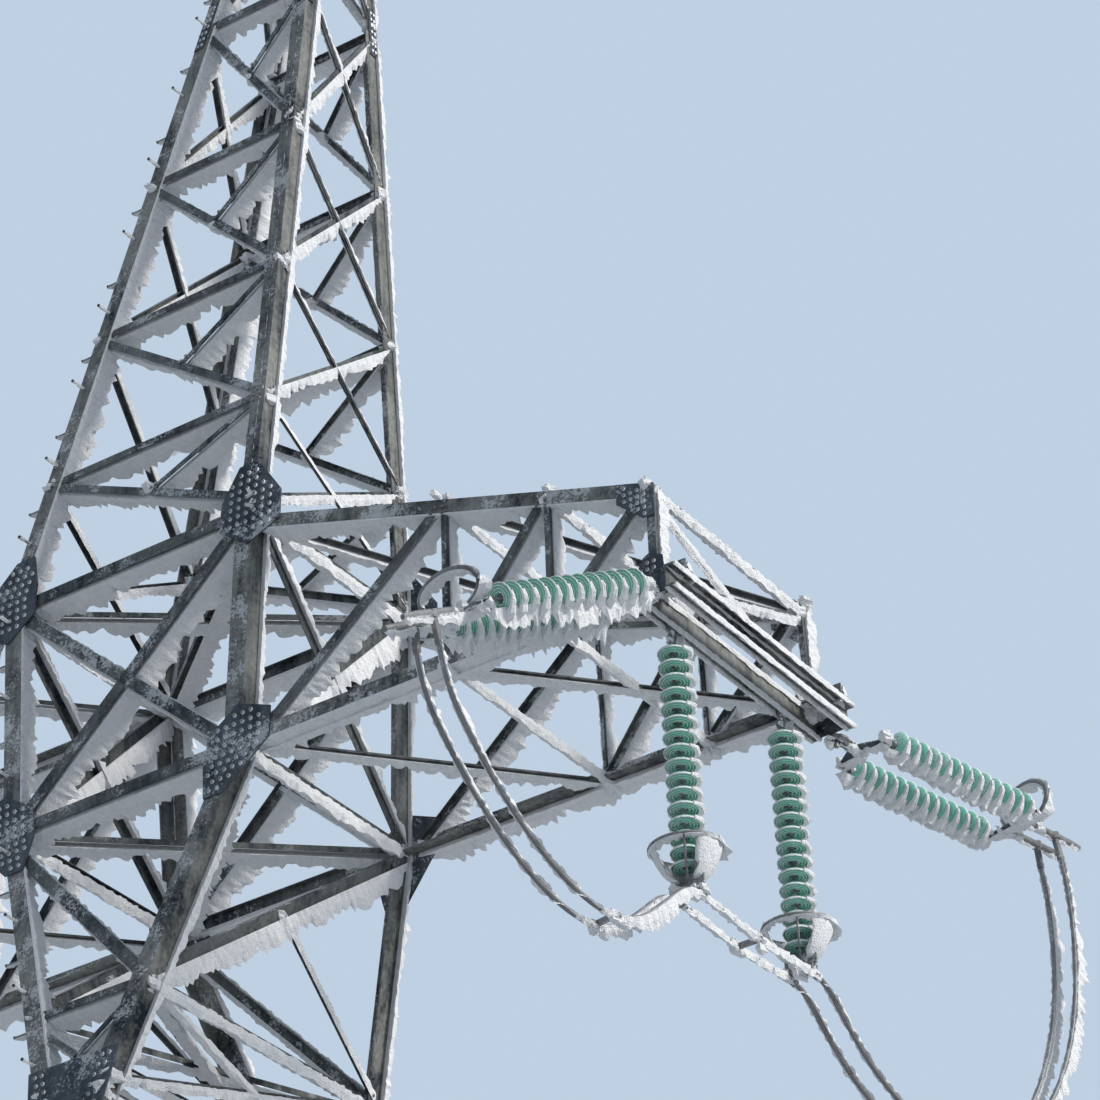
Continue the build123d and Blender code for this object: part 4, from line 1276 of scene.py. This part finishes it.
# Rime feathers: a ragged ridge that grows from each bar into the wind
rime = {
    "reach": 0.25,          # of a full-sized feather on a heavy bar
    "widest": 0.0585,       # half thickness past which a bar carries two ridges side by side
    "least": 0.016,         # half thickness at the foot on a bare edge
    "brim": 0.013,          # how far a feather's foot stands past the edges of its bar
    "sink": 0.012,          # how far its foot lies inside the bar
    "rough": 0.075,
    "swell": (0.80, 0.16, 0.10),    # mean height, its slow waves and its quick ones
    "notches": 0.05,        # share of the rings with a gap broken out
    "notch": (-0.35, -0.1),
    "heights": (0.2, 1.3),  # least and greatest share of the reach
    "taper": (11, 0.45),    # how fast a ridge rises from its ends, and its height there
    "lean": 0.3,            # how far its edge wanders, in half thicknesses
    "footRough": 1.4,
    "slender": (0.72, 0.28, 1.2),   # share of the reach for any bar, what width adds, and its limit
    "twins": (0.48, 0.52),  # of two ridges: how far each is moved over, and its share of the width
    "flank": 0.62,          # half thickness half-way up over that at the foot
    "light": 0.62,          # reach on light bars that face along X
    "fringe": 0.36,         # reach on the flange of a leg that lies along the wind
    "lowest": 0.3,          # height where the columns' rime begins
}


def stationed(a, b, pitch):
    # Evenly spaced places on many straight lines at once, with their line and their share of its length
    count = np.maximum(np.ceil(np.linalg.norm(b - a, axis=1) / pitch).astype(int) + 1, 4)
    line = np.repeat(np.arange(len(a)), count)
    share = (np.arange(count.sum()) - np.repeat(np.cumsum(count) - count, count)) / (count - 1)[line]
    return a[line] + (b - a)[line] * share[:, None], line, share


def waves(rng, line, along, lengths):
    # Smooth noise from -1 to 1 along each line: a sum of sines with its own phases on every line
    total = np.zeros(len(line))
    for length in lengths:
        phase = rng.uniform(0, 2 * math.pi, line.max() + 1)[line]
        stretch = rng.uniform(0.8, 1.25, line.max() + 1)[line]
        total += np.sin(along * 2 * math.pi * stretch / length + phase)
    return total / len(lengths)


def intoWind(run):
    # The wind's part square to each direction
    return windDirection - run * (run @ windDirection)[:, None]


def feathers(rng, place, run, line, share, along, half, reach, rough=rime["rough"]):
    # A ridge as rings of five points: two at its foot, two on its flanks and one at its ragged edge
    grow = intoWind(run)
    force = np.linalg.norm(grow, axis=1)
    grow = unit(grow)
    thick = np.cross(run, grow)
    mean, slow, quick = rime["swell"]
    swell = mean + slow * waves(rng, line, along, (1.9, 0.7)) + quick * waves(rng, line, along, (0.31, 0.13))
    ragged = rng.normal(0, rough, (len(line), 3))
    notch = np.where(rng.random(len(line)) < rime["notches"], rng.uniform(*rime["notch"], len(line)), 0)
    rate, ends = rime["taper"]
    taper = np.clip(np.minimum(share, 1 - share) * rate + ends, 0, 1)
    height = np.clip(swell + ragged[:, 0] + notch, *rime["heights"])
    length = (reach * force * taper * height)[:, None]
    half = np.maximum(np.broadcast_to(half, line.shape), rime["least"])[:, None]
    lean = half * (rime["lean"] * waves(rng, line, along, (0.9, 0.31)))[:, None]
    foot, base = half * (1 + ragged[:, 1:2] * rime["footRough"]), 0 * half
    left, right = half * (rime["flank"] + ragged[:, 1:2]), half * (rime["flank"] + ragged[:, 2:3])
    outline = [(-foot, base), (-left, length * 0.5), (lean, length), (right, length * 0.55), (foot, base)]
    points = np.stack([place + thick * u + grow * v for u, v in outline], 1).reshape(-1, 3)
    breaks = np.diff(line) != 0
    i = np.nonzero(~breaks)[0][:, None] * 5
    first = np.nonzero(np.concatenate([[True], breaks]))[0][:, None] * 5
    last = np.nonzero(np.concatenate([breaks, [True]]))[0][:, None] * 5
    j = np.arange(5)[None]
    k = (j + 1) % 5
    quads = np.stack([i + j, i + k, i + 5 + k, i + 5 + j], -1).reshape(-1, 4)
    return points, [quads, first + j[:, ::-1], last + j]


def barFeathers(rng, bars, pitch, reach):
    # Feathers on straight bars, seated on the side of each bar's box that looks into the wind
    a, b, n = (np.array([bar[k] for bar in bars]) for k in "abn")
    w = np.array([bar["w"] for bar in bars])
    d = np.array([bar.get("d", braceForm["depth"]) for bar in bars])
    thin = [bar["w"] <= light and abs(bar["n"][0]) > 0.7 for bar in bars]
    full = np.array([bar.get("r", rime["light"] if few else 1.0) for bar, few in zip(bars, thin)])
    least, more, most = rime["slender"]
    size = reach * full * (least + more * np.clip(w / heavy, 0, most))
    run = unit(b - a)
    side = unit(np.cross(n, run))
    n = np.cross(run, side)
    grow = unit(intoWind(run))
    thick = np.cross(run, grow)
    half = (np.abs(np.sum(side * thick, 1)) * w + np.abs(np.sum(n * thick, 1)) * d) / 2
    out = (np.abs(np.sum(side * grow, 1)) * w + np.abs(np.sum(n * grow, 1)) * d) / 2
    seat = n * (d / 2)[:, None] + grow * (out - rime["sink"])[:, None]
    slim, (over, part) = half <= rime["widest"], rime["twins"]
    parts = []
    for chosen, shift, part in ((slim, 0.0, 1.0), (~slim, -over, part), (~slim, over, part)):
        if not chosen.any():
            continue
        width = half[chosen] * part + rime["brim"]
        move = seat[chosen] + thick[chosen] * (half[chosen] * shift)[:, None]
        place, line, share = stationed(a[chosen] + move, b[chosen] + move, pitch)
        ways, lengths, sizes = (some[chosen][line] for some in (run, np.linalg.norm(b - a, axis=1), size))
        parts.append(feathers(rng, place, ways, line, share, share * lengths, width[line], sizes))
    return parts


def flanges(a, b, armA, armB, size, wall, inset=0.0):
    # The two flanges of an angle leg as flat bars; the one along the wind carries only a short fringe
    breadth, middle = size * (1 - inset), size * (1 + inset) / 2
    return [{"a": a + armA * middle, "b": b + armA * middle, "w": breadth, "n": armB, "d": wall},
            {"a": a + armB * size / 2, "b": b + armB * size / 2, "w": size, "n": armA, "d": wall,
             "r": rime["fringe"]}]


def legBars(levels, size, wall):
    # The inset is the share of a flange that stays bare beside the heel
    bars = []
    for low, high in zip(levels, levels[1:]):
        for side, inset in ((1, 0.5), (-1, 0.1)):
            for end in (-1, 1):
                heel, head = corner(side, end, low), corner(side, end, high)
                across, along = np.array([-side, 0, 0.0]), np.array([0, -end, 0.0])
                bars += flanges(heel, head, across, along, size, wall, inset)
    return mirrored(bars)


def chordBars():
    beam, arm, section = [], [], (tower["chordSize"], tower["chordWall"])
    for end in (-1, 1):
        across = np.array([0, -end, 0.0])
        for top, past in ((True, 0.04), (False, 0.3)):
            fall = upward * (-1 if top else 1)
            left, right = (beamPoint(end, top, x) for x in (-beamReach, beamReach))
            beam += flanges(left, right, fall, across, *section)
            tip = armPoint(end, top, tower["armReaches"][-1] + past)
            arm += flanges(armPoint(end, top, 0.02), tip, fall, across, *section)
    return beam, mirrored(arm)


# The two channels of each string beam, by the long edges of their flanges
channel = {
    "gap": 0.125,           # from the beam's middle to each channel's back
    "flange": 0.074,
    "half": 1.37,
    "edge": (0.016, 0.012),
    "share": 0.8,
}


def channelBars():
    bars, (width, depth) = [], channel["edge"]
    for x in phases.values():
        for hand in (-1, 1):
            for z in (tower["sill"] - hardware["beamDepth"], tower["sill"]):
                for out in (0.0, channel["flange"]):
                    edge = x + hand * (channel["gap"] + out)
                    a, b = (np.array([edge, s * channel["half"], z]) for s in (-1, 1))
                    bars.append({"a": a, "b": b, "w": width, "n": np.array([hand, 0, 0.0]), "d": depth,
                                 "r": channel["share"]})
    return bars


def makeRime(name, parts):
    piece = newPiece(name, *joined(parts), ["rime"], "fitting_iron")
    print(name, sum(len(p.vertices) - 2 for p in piece.data.polygons), "triangles")


beamChords, armChords = chordBars()
splice = peakLevels[tower["splice"]]
peakLegs = (legBars((tower["ring"], splice), tower["peakSizes"][0], tower["peakWall"])
            + legBars((splice, peakTop), tower["peakSizes"][1], tower["peakWall"]))
headLegs = legBars((tower["waist"], tower["sill"], tower["ring"]), tower["legSize"], tower["legWall"])
columnLegs = legBars((rime["lowest"], tower["waist"]), tower["legSize"], tower["legWall"])

# Rime on bars: seed, bars, distance between rings and share of the full reach
barRime = {
    "peakRime": (11, webGroup("peak") + peakLegs, 0.036, 1.0),
    "headRime": (12, webGroup("head") + webGroup("mast") + headLegs, 0.038, 1.0),
    "columnRime": (13, webGroup("column") + columnLegs, 0.115, 0.9),
    "beamRime": (14, webGroup("beam") + beamChords, 0.06, 1.0),
    "armRime": (15, webGroup("arm") + armChords + channelBars(), 0.036, 0.95),
}
for name, (seed, bars, pitch, share) in barRime.items():
    makeRime(name, barFeathers(np.random.default_rng(seed), bars, pitch, rime["reach"] * share))


def measured(path):
    # The distance of each point along its path
    return np.concatenate([[0], np.cumsum(np.linalg.norm(np.diff(path, axis=0), axis=1))])


def resampled(path, pitch):
    # Points on a path at an even pitch
    path = np.asarray(path, float)
    along = measured(path)
    wanted = np.linspace(0, along[-1], max(int(along[-1] / pitch), 4))
    return np.stack([np.interp(wanted, along, path[:, k]) for k in range(3)], 1)


def lineFeathers(rng, path, half, reach, rise):
    # Feathers along one open path of points, with their feet moved into the wind by the rise
    run = unit(np.gradient(path, axis=0))
    along = measured(path)
    place, line = path + unit(intoWind(run)) * rise, np.zeros(len(path), int)
    return feathers(rng, place, run, line, along / along[-1], along, half, reach, 0.15)


# Crust on the windward half of every disc's rim
rimCrust = {
    "arc": 1.75,
    "steps": 13,
    "rise": 0.044,
    "back": 0.024,
    "radius": 0.119,
    "along": 0.040,         # from the unit's start to its rim
    "clear": 0.010,         # how far its outer points stand off the glass
    "least": 0.004,
    "fade": 1.45,           # angle whose cosine is left at the arc's ends
    "riseSpread": (0.55, 1.5),
    "backSpread": (0.7, 1.3),
    # Its points as shares of the clearance, of the rise and of the depth along the string
    "section": ((0.0, 0.0, -1.0), (1.0, 0.7, -0.8), (1.0, 1.0, 0.0), (1.0, 0.6, 1.0), (0.0, 0.0, 1.1)),
}


def rimLumps(rng, origin, run, count):
    # A lumpy arc on each rim: a section of five points carried round the windward half, fading to its ends
    c = rimCrust
    grow = unit(windDirection - run * (run @ windDirection))
    turn = np.linspace(-c["arc"], c["arc"], c["steps"])
    shape = (count, len(turn), 1)
    fade = np.cos(turn / c["arc"] * c["fade"])[None, :, None]
    rise = c["rise"] * (fade * rng.uniform(*c["riseSpread"], shape)) + c["least"]
    depth = c["back"] * (0.5 + 0.5 * fade) * rng.uniform(*c["backSpread"], shape)
    out = (grow * np.cos(turn)[:, None] + np.cross(run, grow) * np.sin(turn)[:, None])[None]
    middle = origin + run * (np.arange(count)[:, None, None] * strings["pitch"] + c["along"])
    section = [middle + out * (c["radius"] + c["clear"] * clear + rise * high) + run * depth * deep
               for clear, high, deep in c["section"]]
    base = np.arange(count)[:, None, None] * len(turn) * 5
    faces = [(base + f[None]).reshape(-1, f.shape[1])[:, ::-1] for f in tubeFaces(len(turn), 5)]
    return np.stack(section, 2).reshape(-1, 3), faces


# Ridges on single lines: half thickness at the foot, reach, and how far the foot is moved into the wind
lineRime = {
    "tension": (0.052, 0.26, 0.080),
    "support": (0.046, 0.095, 0.096),
    "racket": (0.034, 0.125, -0.004),
    "bowl": (0.020, 0.09, 0.0),
    "jumper": (0.034, 0.150, -0.004),
    "step": (0.010, 0.07, 0.0),
    "stem": (0.035, 0.10, 0.01),
    "yoke": (0.020, 0.12, 0.0),
    "clamp": (0.025, 0.10, 0.02),
}


def ridgeLines():
    # Every single line that carries a ridge: its kind, its path and the distance between rings
    for origin, run, _, count in tensionPlaces:
        end = origin + run * (count * strings["pitch"] + 0.05)
        yield "tension", [origin - run * 0.12, end], 0.03
    for origin, _, _, count in supportPlaces:
        end = origin - upward * (count * strings["pitch"] + 0.05)
        yield "support", [origin + upward * 0.15, end], 0.03
    for path in racketLines:
        yield "racket", path, 0.03
    for ring in bowlRings:
        yield "bowl", np.concatenate([ring, ring[:1]]), 0.03
    for line in jumperLines:
        yield "jumper", line, 0.032
    for start, stop in zip(*stepLines):
        yield "step", [start, stop], 0.05
        yield "step", [start * flipX, stop * flipX], 0.05
    for x in phases.values():
        for end in (-1, 1):
            place = atSet(x, end)
            yield "stem", [place(0, 0, -0.1), place(0, 0, 0.3)], 0.04
            for along in (0.31, 2.16):
                yield "yoke", [place(-0.3, 0, along), place(0.3, 0, along)], 0.04
            for side in (-0.1, 0.1):
                yield "clamp", [place(side, 0, 2.2), place(side, 0, 2.9)], 0.04


rng = np.random.default_rng(16)
places = tensionPlaces + supportPlaces
makeRime("rimCrusts", [rimLumps(rng, origin, run, count) for origin, run, _, count in places])
makeRime("lineRime", [lineFeathers(rng, resampled(path, pitch), *lineRime[kind])
                      for kind, path, pitch in ridgeLines()])

# Lumps of rime caked on the fittings and where bars meet
lump = {
    "rings": 4,
    "around": 6,
    "rough": 0.20,
    "drawn": 1.5,           # length into the wind over width
    # Lines inside a tension set: (across, along) from and to, number of lumps and how far they stray
    "setLines": (
        ((0, -0.10), (0, 0.30), 14, 0.028), ((-0.27, 0.31), (0.27, 0.31), 10, 0.020),
        ((-0.27, 2.14), (0.27, 2.14), 10, 0.020), ((-0.10, 2.20), (-0.10, 2.36), 6, 0.022),
        ((0.10, 2.20), (0.10, 2.36), 6, 0.022), ((-0.25, 0.32), (-0.25, 0.44), 6, 0.022),
        ((0.25, 0.32), (0.25, 0.44), 6, 0.022),
    ),
    "saddleZ": 16.62,
    # Number of lumps, how far they stray, and their least and largest radius
    "joint": (1, 0.018, 0.035, 0.065),
    "saddle": (12, 0.030, 0.022, 0.048),
    "hanger": (6, 0.014, 0.018, 0.032),
    "spacer": (4, 0.030, 0.022, 0.046),
    "armJoint": (4, 0.024, 0.028, 0.052),
    "setRadii": (0.020, 0.046),
}


def lumps(rng, centres, sizes):
    # Small balls, uneven at every point and drawn out into the wind
    tall = np.linspace(-1, 1, lump["rings"] + 2)[1:-1]
    sides = lump["around"]
    flat = circle(np.array([1.0, 0, 0]), np.array([0, 1.0, 0]), sides)
    rings = (flat * np.sqrt(1 - tall ** 2)[:, None, None] + upward * tall[:, None, None]).reshape(-1, 3)
    ball = np.concatenate([rings, [[0, 0, -1.0], [0, 0, 1.0]]])
    uneven = ball[None] * (1 + rng.normal(0, lump["rough"], (len(centres), len(ball), 1)))
    uneven = uneven + windDirection * (uneven @ windDirection)[..., None] * (lump["drawn"] - 1)
    points = centres[:, None] + uneven * sizes[:, None, None]
    i = np.arange(sides)
    after, foot, last = (i + 1) % sides, len(rings), len(rings) - sides
    caps = np.concatenate([np.stack([after, i, foot + 0 * i], -1),
                           np.stack([i + last, after + last, foot + 1 + 0 * i], -1)])
    base = np.arange(len(centres))[:, None, None] * len(ball)
    faces = [(base + f[None]).reshape(-1, f.shape[1]) for f in (ringFaces(lump["rings"], sides), caps)]
    return points.reshape(-1, 3), faces


def scattered(rng, a, b, count, wander, least, most):
    # Lumps strewn along a line, with their sizes
    share = rng.random(count)[:, None]
    return a + (b - a) * share + rng.normal(0, wander, (count, 3)), rng.uniform(least, most, count)


def makeLumps():
    rng, groups = np.random.default_rng(17), []
    for prefix in ("peak", "head", "beam", "arm", "column"):
        for bar in webGroup(prefix):
            for end in "ab":
                seat = bar[end] + bar["n"] * 0.03 + windDirection * 0.03
                groups.append(scattered(rng, seat, seat, *lump["joint"]))
    for x in phases.values():
        for end in (-1, 1):
            place = atSet(x, end)
            for (u, s), (v, t), count, wander in lump["setLines"]:
                a, b = place(u, 0, s), place(v, 0, t)
                groups.append(scattered(rng, a, b, count, wander, *lump["setRadii"]))
        for y in strings["supportY"]:
            foot = np.array([x + strings["supportX"], y, lump["saddleZ"]])
            groups.append(scattered(rng, foot - [0.12, 0, 0], foot + [0.12, 0, 0], *lump["saddle"]))
            seat = np.array([x + strings["supportX"], y, tower["sill"] - hardware["beamDepth"]])
            groups.append(scattered(rng, seat, seat - upward * 0.22, *lump["hanger"]))
    for line in jumperLines:
        for place in spacerPlaces(line):
            seat = place - upward * 0.02
            groups.append(scattered(rng, seat, seat, *lump["spacer"]))
    for mirror in (1, -1):
        for end in (-1, 1):
            for reach in tower["armReaches"][1:]:
                for top, lift in ((True, 0.03), (False, -0.05)):
                    seat = (armPoint(end, top, reach) + [0, 0, lift]) * [mirror, 1, 1]
                    groups.append(scattered(rng, seat, seat + windDirection * 0.05, *lump["armJoint"]))
    makeRime("rimeLumps", [lumps(rng, *(np.concatenate(some) for some in zip(*groups)))])


makeLumps()

# Materials of the frame's own nodes
nodeFinish = {
    "legs": ("peak_legs", "head_legs", "column_legs", "beam_chords", "arm_chords", "string_beams"),
    "plates": ("gusset_plates", "peak_splice_plates", "peak_caps", "base_plates", "string_anchors",
               "tension_yokes"),
    "fittings": ("jumper_saddles", "jumper_spacers"),
}
for key, names in nodeFinish.items():
    for name in names:
        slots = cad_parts[name].data.materials
        slots.clear()
        slots.append(materials[key])
for piece in jumpers:
    piece.data.materials.append(materials["conductor"])
print("frame dressed")

# Studio: a plain pale floor, one broad soft lamp for the open side and an even pale surround
studio = {
    "floorHalf": 300.0,
    "floorLevel": -0.002,
    "floorColour": (0.52, 0.54, 0.57, 1),
    "lampFrom": (0.88, 0.10, 0.46),
    "lampStrength": 3.3,
    "lampColour": (1.0, 0.965, 0.91),
    "lampAngle": 14.0,
    "surround": (0.37, 0.42, 0.49, 1),      # what lights the tower
    "backdrop": (0.52, 0.63, 0.76, 1),      # what is seen behind it
}


def makeFloor():
    half = studio["floorHalf"]
    corners = [(x * half, y * half, studio["floorLevel"]) for x, y in ((-1, -1), (1, -1), (1, 1), (-1, 1))]
    mesh = bpy.data.meshes.new("floor")
    mesh.from_pydata(corners, [], [(0, 1, 2, 3)])
    material, tree, shader = newMaterial("paleFloor")
    feed(tree, shader, {"Base Color": studio["floorColour"], "Roughness": 0.9})
    mesh.materials.append(material)
    floor = bpy.data.objects.new("floor", mesh)
    bpy.context.scene.collection.objects.link(floor)


def makeLights():
    sun = bpy.data.lights.new("softLamp", "SUN")
    sun.energy, sun.angle = studio["lampStrength"], math.radians(studio["lampAngle"])
    sun.color = studio["lampColour"]
    lamp = bpy.data.objects.new("softLamp", sun)
    lamp.rotation_euler = Vector(studio["lampFrom"]).to_track_quat("Z", "Y").to_euler()
    bpy.context.scene.collection.objects.link(lamp)
    world = bpy.data.worlds.new("paleSurround")
    bpy.context.scene.world = world
    world.use_nodes = True
    tree = world.node_tree
    light = tree.nodes["Background"]
    light.inputs["Color"].default_value = studio["surround"]
    shown = put(tree, "ShaderNodeBackground", {"Color": studio["backdrop"]})
    ray = tree.nodes.new("ShaderNodeLightPath").outputs
    seen = maths(tree, "MAXIMUM", ray["Is Camera Ray"], ray["Is Glossy Ray"])
    seen = maths(tree, "MAXIMUM", seen, ray["Is Transmission Ray"])
    both = put(tree, "ShaderNodeMixShader", {0: seen, 1: light.outputs[0], 2: shown.outputs[0]})
    tree.links.new(both.outputs[0], tree.nodes["World Output"].inputs[0])


makeFloor()
makeLights()
bpy.context.scene.view_settings.view_transform = "Standard"
print("studio made")
